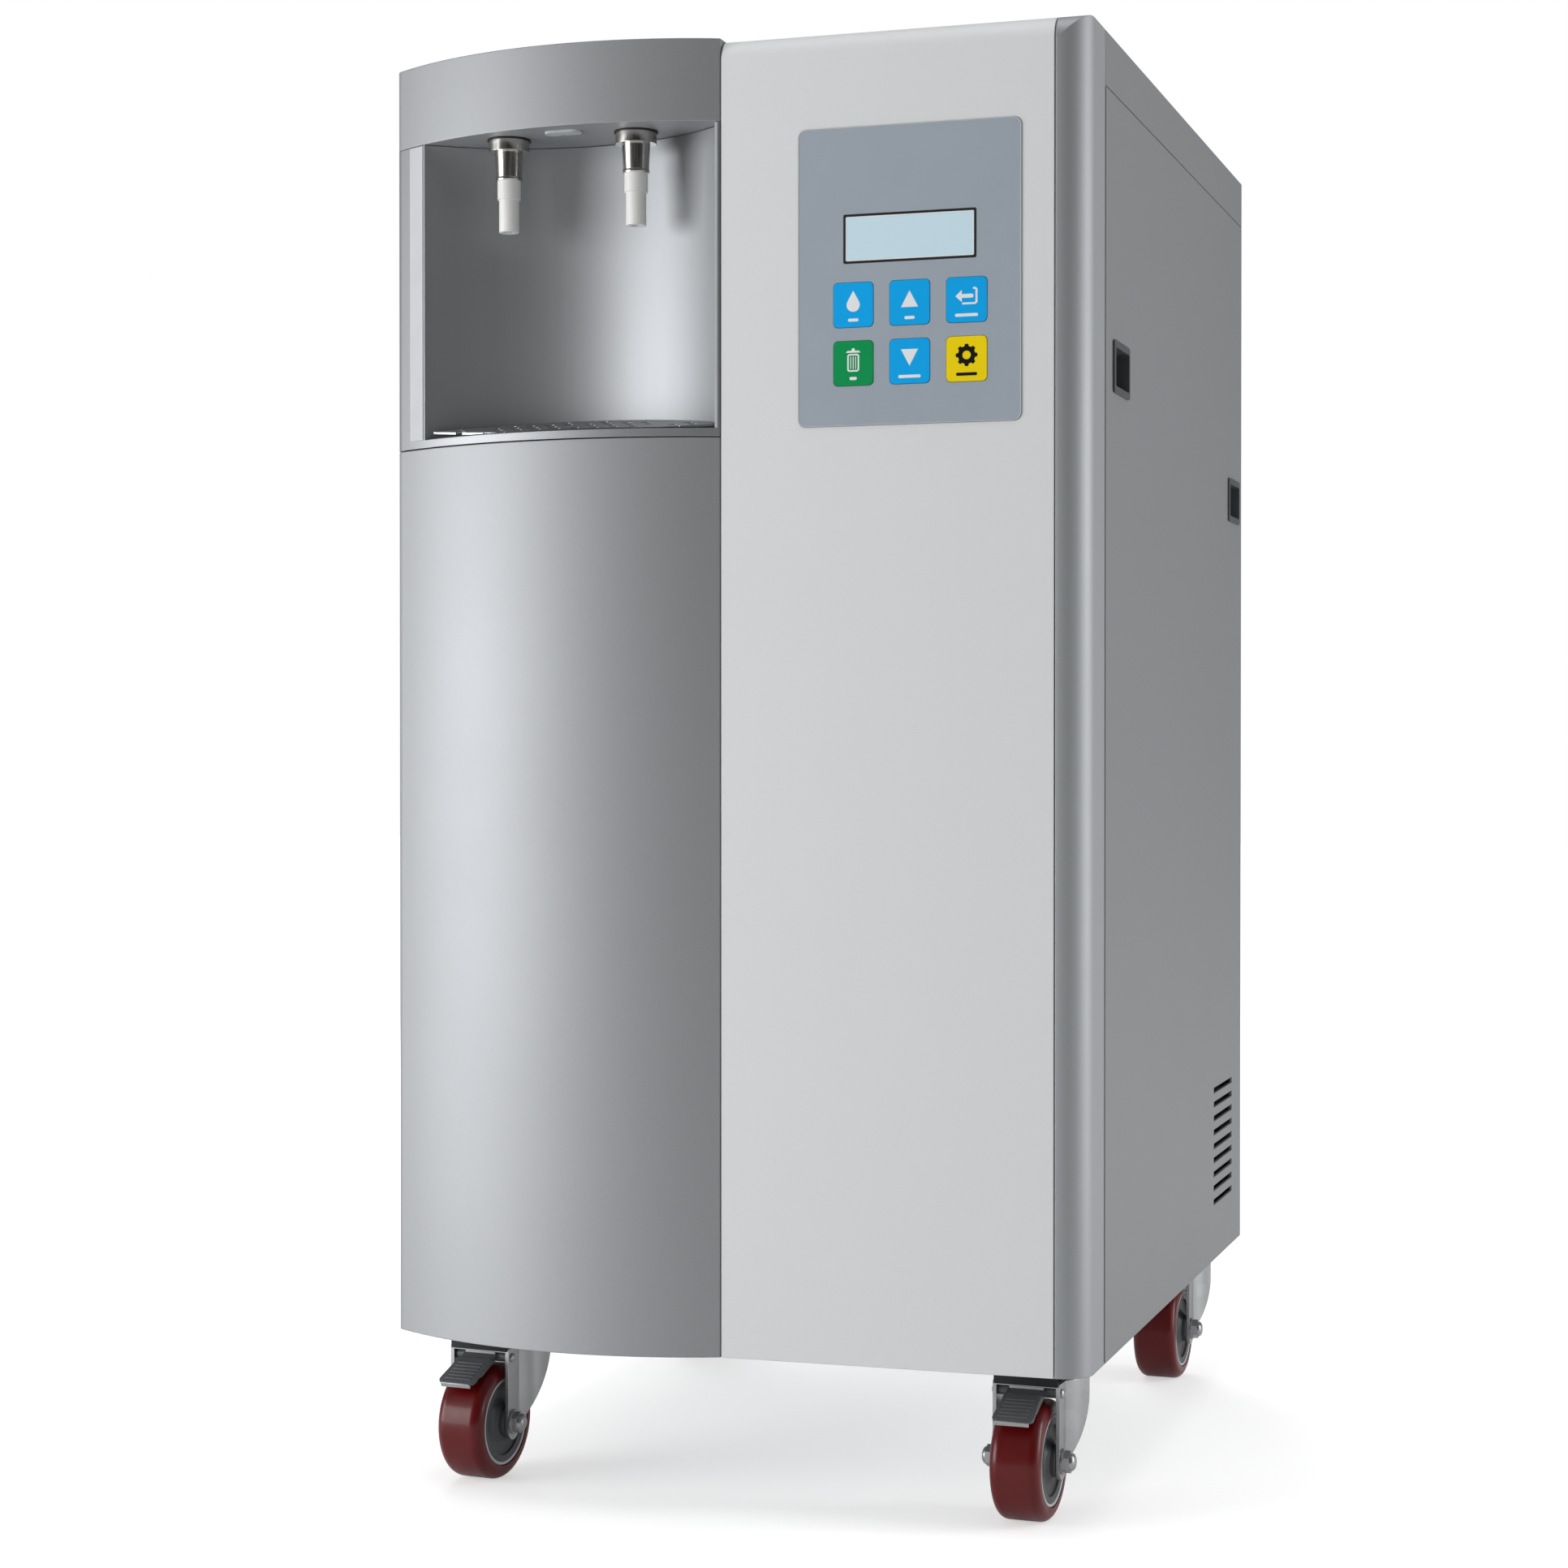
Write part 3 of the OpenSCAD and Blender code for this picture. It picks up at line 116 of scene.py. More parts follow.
class Finish:
    """A principled material, kept by its name, with textures in object space on its varying sockets."""

    def __init__(self, name, metallic=0.0, specular=0.5, coat=0.0, coat_roughness=0.15, edge=0.0):
        material = bpy.data.materials.new(name)
        material.use_nodes = True
        FINISHES[name] = material
        self.nodes = material.node_tree.nodes
        self.links = material.node_tree.links
        self.shader = self.nodes["Principled BSDF"]
        self.set("Metallic", metallic)
        self.set("Specular IOR Level", specular)
        if coat:
            self.set("Coat Weight", coat)
            self.set("Coat Roughness", coat_roughness)
        self.place = self.nodes.new("ShaderNodeTexCoord").outputs["Object"]
        self.normal = None
        if edge:
            bevel = self.nodes.new("ShaderNodeBevel")
            bevel.samples = 6
            bevel.inputs["Radius"].default_value = edge
            self.use_normal(bevel.outputs["Normal"])

    def set(self, socket, value):
        """Gives a socket of the shader one value."""
        self.shader.inputs[socket].default_value = value

    def use_normal(self, output):
        """Takes a node's normal as the surface's own."""
        self.normal = output
        self.links.new(output, self.shader.inputs["Normal"])

    def noise(self, scale, detail, stretch=(1, 1, 1), roughness=0.5):
        """A noise texture, which can be drawn out along an axis."""
        mapping = self.nodes.new("ShaderNodeMapping")
        mapping.inputs["Scale"].default_value = stretch
        self.links.new(self.place, mapping.inputs["Vector"])
        texture = self.nodes.new("ShaderNodeTexNoise")
        texture.inputs["Scale"].default_value = scale
        texture.inputs["Detail"].default_value = detail
        texture.inputs["Roughness"].default_value = roughness
        self.links.new(mapping.outputs["Vector"], texture.inputs["Vector"])
        return texture.outputs[0]

    def cells(self, scale):
        """A mosaic of cells, each in one colour."""
        texture = self.nodes.new("ShaderNodeTexVoronoi")
        texture.inputs["Scale"].default_value = scale
        self.links.new(self.place, texture.inputs["Vector"])
        return texture.outputs["Color"]

    def colour(self, driver, dark, light, low=NOISE_LOW, high=NOISE_HIGH):
        """A colour that goes from dark to light while the driver goes from low to high."""
        ramp = self.nodes.new("ShaderNodeValToRGB")
        ramp.color_ramp.elements[0].position = low
        ramp.color_ramp.elements[0].color = dark
        ramp.color_ramp.elements[1].position = high
        ramp.color_ramp.elements[1].color = light
        self.links.new(driver, ramp.inputs["Fac"])
        self.links.new(ramp.outputs["Color"], self.shader.inputs["Base Color"])

    def rough(self, driver, low, high):
        """A roughness that varies between two values."""
        spread = self.nodes.new("ShaderNodeMapRange")
        spread.inputs["From Min"].default_value = NOISE_LOW
        spread.inputs["From Max"].default_value = NOISE_HIGH
        spread.inputs["To Min"].default_value = low
        spread.inputs["To Max"].default_value = high
        self.links.new(driver, spread.inputs["Value"])
        self.links.new(spread.outputs["Result"], self.shader.inputs["Roughness"])

    def bump(self, driver, strength, depth):
        """A fine relief on top of the normal in use."""
        bump = self.nodes.new("ShaderNodeBump")
        bump.inputs["Strength"].default_value = strength
        bump.inputs["Distance"].default_value = depth
        self.links.new(driver, bump.inputs["Height"])
        if self.normal is not None:
            self.links.new(self.normal, bump.inputs["Normal"])
        self.use_normal(bump.outputs["Normal"])


# Materials


def paint(name, tone, spread, metallic, roughness, grain):
    """Sprayed paint: fine flake in its colour, slightly uneven gloss and a faint orange peel."""
    made = Finish(name, metallic=metallic, edge=SHEET_EDGE)
    made.colour(made.noise(grain, 3.0, roughness=0.7), shade(tone, 1 - spread), shade(tone, 1 + spread))
    made.rough(made.noise(9, 4.0), roughness - 0.01, roughness + 0.01)
    made.bump(made.noise(420, 1.0), 0.05, 0.1 * MM)


def moulded(name, tone, roughness, spread=0.06, grain=900, bump=0.10, specular=0.45, edge=MOULDED_EDGE):
    """Injection-moulded plastic with a fine spark-eroded texture."""
    made = Finish(name, specular=specular, edge=edge)
    made.colour(made.noise(60, 5.0), shade(tone, 1 - spread), shade(tone, 1 + spread))
    made.rough(made.noise(140, 3.0), roughness - 0.05, roughness + 0.05)
    made.bump(made.noise(grain, 2.0), bump, 0.08 * MM)


def brushed(name, tone, roughness, stretch, spread=0.10, depth=1.0):
    """Bare metal with brush lines along one direction, finer where their depth is small."""
    made = Finish(name, metallic=1.0, edge=BRUSHED_EDGE)
    lines = made.noise(260, 4.0, stretch=stretch, roughness=0.65)
    made.colour(lines, shade(tone, 1 - spread), shade(tone, 1 + spread))
    made.rough(lines, roughness - 0.06 * depth, roughness + 0.08 * depth)
    made.bump(lines, 0.06 * depth, 0.05 * MM)


def zinc(name, tone, roughness, spangle):
    """Zinc plating: mottled spangle, clouded gloss and light handling marks."""
    made = Finish(name, metallic=1.0, edge=PLATED_EDGE)
    made.colour(made.cells(spangle), shade(tone, 0.95), shade(tone, 1.04), 0.1, 0.9)
    made.rough(made.noise(35, 5.0), roughness - 0.08, roughness + 0.10)
    made.bump(made.noise(300, 3.0), 0.06, 0.08 * MM)


def glossy(name, tone, roughness, coat):
    """Cast polyurethane or enamel with a smooth skin and cloudy depth."""
    made = Finish(name, specular=0.3, coat=coat, coat_roughness=0.12, edge=MOULDED_EDGE)
    made.colour(made.noise(45, 4.0), shade(tone, 0.92), shade(tone, 1.08))
    made.rough(made.noise(80, 3.0), roughness - 0.05, roughness + 0.07)
    made.bump(made.noise(220, 2.0), 0.03, 0.1 * MM)


def film(name, tone, roughness):
    """Printed polyester film with a fine matt texture."""
    made = Finish(name, specular=0.15, edge=FILM_EDGE)
    made.colour(made.noise(24, 4.0), shade(tone, 0.98), shade(tone, 1.02))
    made.rough(made.noise(60, 3.0), roughness - 0.04, roughness + 0.04)
    made.bump(made.noise(1400, 2.0), 0.12, 0.05 * MM)


def display(name, tone, glow):
    """A reflective display behind a clear window, with a faint painted glow, and its fine pixel rows."""
    made = Finish(name, specular=0.4, coat=0.25, coat_roughness=0.12)
    rows = made.nodes.new("ShaderNodeTexWave")
    rows.bands_direction = "Z"
    rows.inputs["Scale"].default_value = 480
    made.links.new(made.place, rows.inputs["Vector"])
    made.colour(rows.outputs["Fac"], shade(tone, 0.985), shade(tone, 1.01), 0.2, 0.8)
    made.rough(made.noise(70, 2.0), 0.32, 0.36)
    # Painted glow: emission that brightens the reflective display, which is no lamp
    made.set("Emission Color", tone)
    made.set("Emission Strength", glow)


def board(name):
    """Green solder mask over copper tracks."""
    made = Finish(name, specular=0.6, coat=0.3)
    made.colour(made.cells(160), srgb(8, 62, 38), srgb(22, 104, 60), 0.45, 0.55)
    made.rough(made.noise(90, 3.0), 0.28, 0.42)
    made.bump(made.cells(160), 0.10, 0.06 * MM)


def clear_hose(name):
    """Milky hose wall that lets some light through."""
    made = Finish(name, specular=0.5)
    made.colour(made.noise(40, 3.0), srgb(205, 215, 220), srgb(228, 235, 238))
    made.rough(made.noise(60, 2.0), 0.22, 0.34)
    made.set("Transmission Weight", 0.35)


# Finishes, by the names of the frame's slots and then of the trim

paint("silver_paint", srgb(168, 170, 173), spread=0.05, metallic=0.85, roughness=0.60, grain=1500)
paint("white_paint", srgb(225, 227, 228), spread=0.015, metallic=0.0, roughness=0.50, grain=700)
paint("side_paint", srgb(143, 145, 148), spread=0.04, metallic=0.45, roughness=0.55, grain=1200)
brushed("satin_silver", srgb(164, 166, 169), roughness=0.52, stretch=(1, 1, 0.02), spread=0.015, depth=0.15)
zinc("zinc_sheet", srgb(176, 180, 184), roughness=0.42, spangle=60)
moulded("latch_plastic", srgb(72, 75, 79), roughness=0.48)
moulded("slider_plastic", srgb(112, 116, 121), roughness=0.44)
moulded("dark_plastic", srgb(52, 54, 57), roughness=0.5)
brushed("perforated_steel", srgb(176, 179, 182), roughness=0.36, stretch=(0.03, 1, 1), spread=0.06)
brushed("brushed_steel", srgb(196, 193, 188), roughness=0.20, stretch=(1, 1, 0.04))
moulded("white_plastic", srgb(238, 238, 236), roughness=0.38, spread=0.015, grain=700, bump=0.05)
moulded("lamp_lens", srgb(190, 193, 196), roughness=0.30, spread=0.02, grain=1200, bump=0.08)
film("overlay_film", srgb(162, 172, 182), roughness=0.50)
moulded("black_rubber", srgb(24, 26, 28), roughness=0.55, spread=0.10, grain=800, specular=0.35,
        edge=RUBBER_EDGE)
display("display_glass", srgb(186, 210, 220), glow=0.24)
board("circuit_board")
film("key_blue", srgb(0, 170, 242), roughness=0.55)
film("key_green", srgb(0, 150, 82), roughness=0.55)
film("key_yellow", srgb(248, 218, 0), roughness=0.55)
moulded("black_plastic", srgb(30, 31, 33), roughness=0.42)
glossy("tank_shell", srgb(38, 92, 150), roughness=0.30, coat=0.5)
moulded("cartridge_plastic", srgb(206, 214, 222), roughness=0.32, spread=0.03)
brushed("aluminium_case", srgb(200, 203, 206), roughness=0.34, stretch=(0.03, 1, 1), spread=0.05)
clear_hose("clear_tube")
zinc("caster_zinc", srgb(172, 173, 174), roughness=0.34, spangle=90)
glossy("red_tyre", srgb(98, 2, 5), roughness=0.34, coat=0.22)
moulded("wheel_core", srgb(74, 76, 79), roughness=0.45)
moulded("pedal_plastic", srgb(90, 92, 95), roughness=0.45)
film("white_print", srgb(240, 242, 244), roughness=0.42)
film("black_print", srgb(18, 18, 18), roughness=0.42)
# Pale trim on the wheels, and the finish of the painted highlights on the bay's edges, the overlay's edge and
# the spring leaf
moulded("pale_trim_and_highlights", srgb(198, 200, 203), roughness=0.36, spread=0.03)
moulded("blue_clip", srgb(30, 96, 178), roughness=0.38)
brushed("brass", srgb(204, 170, 96), roughness=0.28, stretch=(1, 0.05, 1), spread=0.06)


def dress_frame():
    """Gives every node of the frame the finish of its own slot."""
    for name, part in nodes.items():
        for holder in part.material_slots:
            slot = holder.material.name.split(".")[0]
            holder.material = FINISHES[slot]


# Mesh helpers


def polar_ring(radius_at, count, height):
    """Points around local Z, with the radius given as a number or a function of the angle."""
    ring = []
    for step in range(count):
        angle = 2 * math.pi * step / count
        radius = radius_at(angle) if callable(radius_at) else radius_at
        ring.append(Vector((radius * math.cos(angle), radius * math.sin(angle), height)))
    return ring


def loft(bm, rings, place=Matrix.Identity(4), closed=False):
    """Skins a row of rings that have the same number of points, and caps its ends unless it is closed."""
    rows = [[bm.verts.new(place @ point) for point in ring] for ring in rings]
    pairs = list(zip(rows, rows[1:]))
    if closed:
        pairs.append((rows[-1], rows[0]))
    count = len(rows[0])
    for low, high in pairs:
        for i in range(count):
            j = (i + 1) % count
            bm.faces.new((low[i], low[j], high[j], high[i]))
    if not closed:
        bm.faces.new(list(reversed(rows[0])))
        bm.faces.new(rows[-1])


def prism(bm, outline, place, thickness):
    """A flat shape drawn in local XY, raised along local Z."""
    low = [Vector((u, v, 0)) for u, v in outline]
    high = [Vector((u, v, thickness)) for u, v in outline]
    loft(bm, [low, high], place)


def rounded_outline(width, height, radius, steps=6):
    """A rounded rectangle, counter-clockwise."""
    points = []
    for corner, (sx, sy) in enumerate(((1, 1), (-1, 1), (-1, -1), (1, -1))):
        for step in range(steps + 1):
            angle = math.pi / 2 * (corner + step / steps)
            points.append((sx * (width / 2 - radius) + radius * math.cos(angle),
                           sy * (height / 2 - radius) + radius * math.sin(angle)))
    return points


def frame_band(bm, width, height, radius, band, thickness, place):
    """A thin rounded border, drawn outwards from its inner outline."""
    inner = rounded_outline(width, height, radius)
    outer = rounded_outline(width + 2 * band, height + 2 * band, radius + band)
    rings = [
        [Vector((u, v, 0)) for u, v in inner],
        [Vector((u, v, thickness)) for u, v in inner],
        [Vector((u, v, thickness)) for u, v in outer],
        [Vector((u, v, 0)) for u, v in outer],
    ]
    loft(bm, rings, place, closed=True)


def turned(bm, profile_mm, place, count, closed=True):
    """Turns a profile of (radius, height) points in millimetres around local Z."""
    rings = [polar_ring(radius * MM, count, height * MM) for radius, height in profile_mm]
    loft(bm, rings, place, closed)


def bar(bm, place, x_mm, y_mm, z_mm, radius_mm=0.3):
    """A round-edged bar between two limits on each axis, in millimetres."""
    width, depth = (x_mm[1] - x_mm[0]) * MM, (y_mm[1] - y_mm[0]) * MM
    middle = Vector(((x_mm[0] + x_mm[1]) / 2, (y_mm[0] + y_mm[1]) / 2, 0)) * MM
    corner = 0.4 * radius_mm * MM + 0.1 * MM
    rings = []
    for inset, height in ((radius_mm, z_mm[0]), (0, z_mm[0] + radius_mm), (0, z_mm[1] - radius_mm),
                          (radius_mm, z_mm[1])):
        outline = rounded_outline(width - 2 * inset * MM, depth - 2 * inset * MM, corner, 3)
        rings.append([middle + Vector((u, v, height * MM)) for u, v in outline])
    loft(bm, rings, place)


def screw_head(bm, place, radius, height):
    """A domed screw head with a cross recess."""
    arm = radius * 0.58
    slot = radius * 0.16
    count = 48

    def cross(angle):
        along, across = abs(math.cos(angle)), abs(math.sin(angle))
        wide = min(arm / max(along, 1e-6), slot / max(across, 1e-6))
        tall = min(slot / max(along, 1e-6), arm / max(across, 1e-6))
        return max(wide, tall)

    rings = [polar_ring(radius, count, 0), polar_ring(radius, count, height * 0.35)]
    for share in (0.92, 0.78):
        rings.append(polar_ring(radius * share, count, height * (1.02 - share * 0.62)))
    rings.append(polar_ring(radius * 0.66, count, height * 0.80))
    rings.append(polar_ring(cross, count, height * 0.86))
    rings.append(polar_ring(lambda angle: cross(angle) * 0.9, count, height * 0.2))
    loft(bm, rings, place)


def add_piece(name, bm, finish, body):
    """Makes the mesh an object that rides on a body and takes its finish from a slot."""
    bmesh.ops.recalc_face_normals(bm, faces=bm.faces)
    mesh = bpy.data.meshes.new(name)
    bm.to_mesh(mesh)
    bm.free()
    mesh.materials.append(FINISHES[finish])
    mesh.shade_smooth()
    mesh.set_sharp_from_angle(angle=math.radians(SMOOTH_ANGLE))
    made = bpy.data.objects.new(name, mesh)
    bpy.context.scene.collection.objects.link(made)
    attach(made, body)
    return made


def front_face(x, z, y):
    """A frame on a front face: local X to the right, local Y up, local Z towards the viewer."""
    return Matrix(((1, 0, 0, x), (0, 0, -1, y), (0, 1, 0, z), (0, 0, 0, 1)))


def rear_face(x, z, y):
    """A frame on a rear face: local X to the left seen from the back, local Y up, local Z outwards."""
    return Matrix(((-1, 0, 0, x), (0, 0, 1, y), (0, 1, 0, z), (0, 0, 0, 1)))


def node_front(node):
    """A frame in the middle of a node's front face."""
    low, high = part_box(node)
    return front_face((low.x + high.x) / 2, (low.z + high.z) / 2, low.y)


# Operating panel

# Prints on the keys: thickness, place of the pictogram, and place and height of the bar under it
PRINT_T = 0.08 * MM
ICON_LIFT = 2.2 * MM
WORD_DROP = -9.2 * MM
WORD_H = 1.9 * MM


def drop_outline(height, width):
    """A water drop: a round foot drawn up to a point."""
    radius = width / 2
    foot = radius - height / 2
    reach = height / 2 - foot
    start = math.acos(radius / reach)
    steps = 24
    points = [(0, height / 2)]
    for step in range(steps + 1):
        angle = math.pi / 2 + start + (2 * math.pi - 2 * start) * step / steps
        points.append((radius * math.cos(angle), foot + radius * math.sin(angle)))
    return points


def icon_drop(bm, place):
    """A water drop."""
    tall, wide = 12.8 * MM, 8.4 * MM
    prism(bm, drop_outline(tall, wide), place, PRINT_T)


def icon_triangle(bm, place, way):
    """A triangle that points up or down."""
    half, tall = 5.4 * MM, 10.1 * MM
    points = [(-half, -way * tall / 2), (half, -way * tall / 2), (0, way * tall / 2)]
    prism(bm, points if way > 0 else points[::-1], place, PRINT_T)


def icon_enter(bm, place):
    """An arrow to the left and the bent line that it comes from."""
    arrow = [(-6.9, 0), (-2.9, 3.7), (-2.9, 1.2), (3.6, 1.2), (4.3, 0.6), (4.3, -0.6), (3.6, -1.2),
             (-2.9, -1.2), (-2.9, -3.7)]
    bend = [(4.0, 5.2), (5.6, 5.2), (6.8, 4.0), (6.8, -3.9), (5.6, -5.1), (-2.6, -5.1), (-2.6, -3.9),
            (5.0, -3.9), (5.5, -3.4), (5.5, 3.5), (5.0, 3.9), (4.0, 3.9)]
    for outline in (arrow, bend):
        prism(bm, [(u * MM, v * MM) for u, v in reversed(outline)], place, PRINT_T)


def icon_cartridge(bm, place):
    """A filter cartridge: its cap with a port, an open body and three lines inside."""
    cap = [(-4.6, 4.2), (-3.7, 5.4), (-1.2, 5.4), (-0.7, 6.9), (0.7, 6.9), (1.2, 5.4), (3.7, 5.4),
           (4.6, 4.2)]
    prism(bm, [(u * MM, v * MM) for u, v in reversed(cap)], place, PRINT_T)
    drop, wide, tall, corner, wall = 1.9 * MM, 5.6 * MM, 8.8 * MM, 0.6 * MM, 1.0 * MM
    body = place @ Matrix.Translation((0, -drop, 0))
    frame_band(bm, wide, tall, corner, wall, PRINT_T, body)
    pitch, line_wide, line_tall, line_corner = 1.55 * MM, 0.55 * MM, 7.6 * MM, 0.25 * MM
    for i in (-1, 0, 1):
        line = body @ Matrix.Translation((i * pitch, 0, 0))
        prism(bm, rounded_outline(line_wide, line_tall, line_corner, 3), line, PRINT_T)


def icon_gear(bm, place):
    """A gear with eight round-cornered teeth and a round hole."""
    teeth, count = 8, 128
    root, tip, hole = 5.4 * MM, 6.7 * MM, 2.6 * MM

    def outline(angle):
        wave = math.cos(teeth * (angle - math.pi / 2))
        lift = min(1.0, max(0.0, 0.5 + 1.6 * wave))
        return root + (tip - root) * lift * lift * (3 - 2 * lift)

    rings = [polar_ring(hole, count, 0), polar_ring(hole, count, PRINT_T),
             polar_ring(outline, count, PRINT_T), polar_ring(outline, count, 0)]
    loft(bm, rings, place, closed=True)


# Each key's pictogram, the length in millimetres of the bar under it, and its ink
KEY_PRINT = {
    "key_drop": (icon_drop, 6.6, "white_print"),
    "key_up": (lambda bm, place: icon_triangle(bm, place, 1), 6.4, "white_print"),
    "key_enter": (icon_enter, 14.2, "white_print"),
    "key_cartridge": (icon_cartridge, 4.6, "white_print"),
    "key_down": (lambda bm, place: icon_triangle(bm, place, -1), 14.0, "white_print"),
    "key_menu": (icon_gear, 13.0, "black_print"),
}


def add_key_prints():
    """Each key's pictogram, with a plain bar under it."""
    for key, (draw, bar_mm, ink) in KEY_PRINT.items():
        face = node_front(key)
        bm = bmesh.new()
        draw(bm, face @ Matrix.Translation((0, ICON_LIFT, 0)))
        word = rounded_outline(bar_mm * MM, WORD_H, WORD_H * 0.4, 4)
        prism(bm, word, face @ Matrix.Translation((0, WORD_DROP, 0)), PRINT_T)
        add_piece(key + "_print", bm, ink, key)


# Borders on the panel, in millimetres: the overlay's pale edge, a painted highlight of its bevel, and the
# line in the display's black frame
OVERLAY_EDGE = 0.7
OVERLAY_EDGE_R = 4.3
OVERLAY_EDGE_T = 0.12
DISPLAY_RIM = 1.4
DISPLAY_LINE = 0.7
DISPLAY_LINE_R = 0.3
DISPLAY_LINE_T = 0.05
DISPLAY_LINE_SINK = 0.1


def add_panel_trim():
    """The overlay's pale edge, a painted highlight of its bevel, and the light line inside the display's
    black frame.
    """
    low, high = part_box("keypad_overlay")
    bm = bmesh.new()
    edge = OVERLAY_EDGE * MM
    frame_band(bm, high.x - low.x - 2 * edge, high.z - low.z - 2 * edge, OVERLAY_EDGE_R * MM, edge,
               OVERLAY_EDGE_T * MM, node_front("keypad_overlay"))
    # The overlay's pale edge is painted highlight
    add_piece("overlay_edge_highlight", bm, "pale_trim_and_highlights", "cabinet")
    low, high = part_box("lcd_gasket")
    inset = (DISPLAY_RIM + DISPLAY_LINE) * MM
    place = node_front("lcd_gasket") @ Matrix.Translation((0, 0, -DISPLAY_LINE_SINK * MM))
    bm = bmesh.new()
    frame_band(bm, high.x - low.x - 2 * inset, high.z - low.z - 2 * inset, DISPLAY_LINE_R * MM,
               DISPLAY_LINE * MM, DISPLAY_LINE_T * MM, place)
    add_piece("display_edge", bm, "white_print", "cabinet")


# Dispensing bay


# The nozzles' collars, and the profiles of their seals and rings as (radius, height), in millimetres
COLLAR_R = 13
SEAL_PROFILE = [(12.0, 0.0), (13.7, 0.0), (13.9, -0.5), (13.7, -1.1), (12.0, -1.1)]
TIP_RING_PROFILE = [(7.0, -0.2), (8.3, -0.2), (8.55, 0.4), (8.55, 1.6), (8.2, 2.1), (7.0, 2.1)]


def add_nozzle_rings():
    """A dark seal over each collar and a fine steel ring where the tip is pushed in."""
    low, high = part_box("nozzle_barrels")
    tip_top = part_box("nozzle_tips")[1].z
    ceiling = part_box("bow_header")[0].z
    y = (low.y + high.y) / 2
    seals = bmesh.new()
    rings = bmesh.new()
    for x in (low.x + COLLAR_R * MM, high.x - COLLAR_R * MM):
        turned(seals, SEAL_PROFILE, Matrix.Translation((x, y, ceiling)), 48)
        turned(rings, TIP_RING_PROFILE, Matrix.Translation((x, y, tip_top)), 48)
    add_piece("nozzle_seals", seals, "black_rubber", "cabinet")
    add_piece("nozzle_rings", rings, "brushed_steel", "cabinet")


# The bow in plan, in millimetres: how far its apex lies from the seam and stands forward of the front panel
BOW_APEX = 90.85
BOW_RISE = 17.6
BOW_R = (BOW_APEX ** 2 + BOW_RISE ** 2) / (2 * BOW_RISE)

# The pale strips of painted highlight on the bay's edges, in millimetres: the lip under them, gaps at their
# ends, spans and thickness
LIP_H = 5.0
STRIP_GAP = 1.0
STRIP_TOP_GAP = 0.8
STRIP_SINK = 0.05
STRIP_STEPS = 8
LEFT_STRIP = (-217.0, -205.0)
RIGHT_STRIP = (-3.2, -1.6)
STRIP_LIFT = 0.35


def bow_strip(bm, span, front, bottom, top):
    """A thin upright strip on the bow's face between two places across it."""
    def along(lift):
        points = []
        for step in range(STRIP_STEPS + 1):
            x = span[0] + (span[1] - span[0]) * step / STRIP_STEPS
            y = BOW_R - BOW_RISE - math.sqrt((BOW_R + lift) ** 2 - (x + BOW_APEX) ** 2)
            points.append((x * MM, front + y * MM))
        return points

    outline = along(STRIP_LIFT) + along(-STRIP_SINK)[::-1]
    prism(bm, outline, Matrix.Translation((0, 0, bottom)), top - bottom)


def add_bay_edge_highlights():
    """A pale strip of painted highlight on the bay's left jamb and a fine one on its right edge."""
    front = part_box("front_panel")[0].y
    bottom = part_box("bow_lower_panel")[1].z + (LIP_H + STRIP_GAP) * MM
    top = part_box("bow_header")[0].z - STRIP_TOP_GAP * MM
    bm = bmesh.new()
    for span in (LEFT_STRIP, RIGHT_STRIP):
        bow_strip(bm, span, front, bottom, top)
    # Strips of painted highlight along the bay's lit edges
    add_piece("bay_edge_highlights", bm, "pale_trim_and_highlights", "cabinet")


# Casters


def wheel_place(caster):
    """A frame at the wheel's middle: local Z along the axle, local X up."""
    joint = joints[caster + "_roll"]
    axle = Vector(joint["axis"]).normalized()
    side = axle.cross(UP)
    place = Matrix((UP, side, axle)).transposed().to_4x4()
    place.translation = Vector(joint["pos_m"])
    return place


def pin_place(caster):
    """A level frame at the pedal's pin: local X along the pin, local Y to the back."""
    joint = joints[caster + "_brake_press"]
    pin = Vector(joint["axis"]).normalized()
    place = Matrix((pin, UP.cross(pin), UP)).transposed().to_4x4()
    place.translation = Vector(joint["pos_m"])
    return place


def crown_place(caster):
    """A frame on the fork's crown at the swivel axis, turned with the fork."""
    place = pin_place(caster)
    place.translation = Vector(joints[caster + "_swivel"]["pos_m"])
    return place


def both_sides(place):
    """The frame itself and its mirror image along the axle, turned so that Z points out again."""
    return (place, place @ Matrix.Rotation(math.pi, 4, "X"))


# Profiles of the turned trim as (radius, height along the axis), in millimetres
RIM_PROFILE = [(26.3, 14.4), (26.3, 15.3), (26.8, 15.7), (27.8, 15.7), (28.3, 15.2), (28.3, 14.4)]
HUB_PROFILE = [(9.6, 10.0), (9.6, 16.0), (11.0, 16.0), (12.2, 14.2), (15.0, 12.9), (19.0, 12.7), (22.4, 13.6),
               (22.4, 10.0)]
AXLE_END_PROFILE = [(5.6, 26.6), (5.6, 27.4), (5.0, 28.6), (3.6, 29.5), (1.6, 29.9), (0.3, 30.0)]
PIN_HEAD_PROFILE = [(2.9, 21.55), (2.8, 22.3), (2.2, 22.8), (1.2, 23.1), (0.3, 23.2)]
# The dark dome over the fork's crown is painted shade
CROWN_SHADE_PROFILE = [(24.6, 0.1), (29.2, 0.1), (29.2, 1.0), (27.6, 4.4), (25.8, 6.6), (24.6, 7.2)]

# Bars on the fork's crown, in millimetres: their spans across, to the back and up
CROWN_SPAN = (-20.6, 20.6)
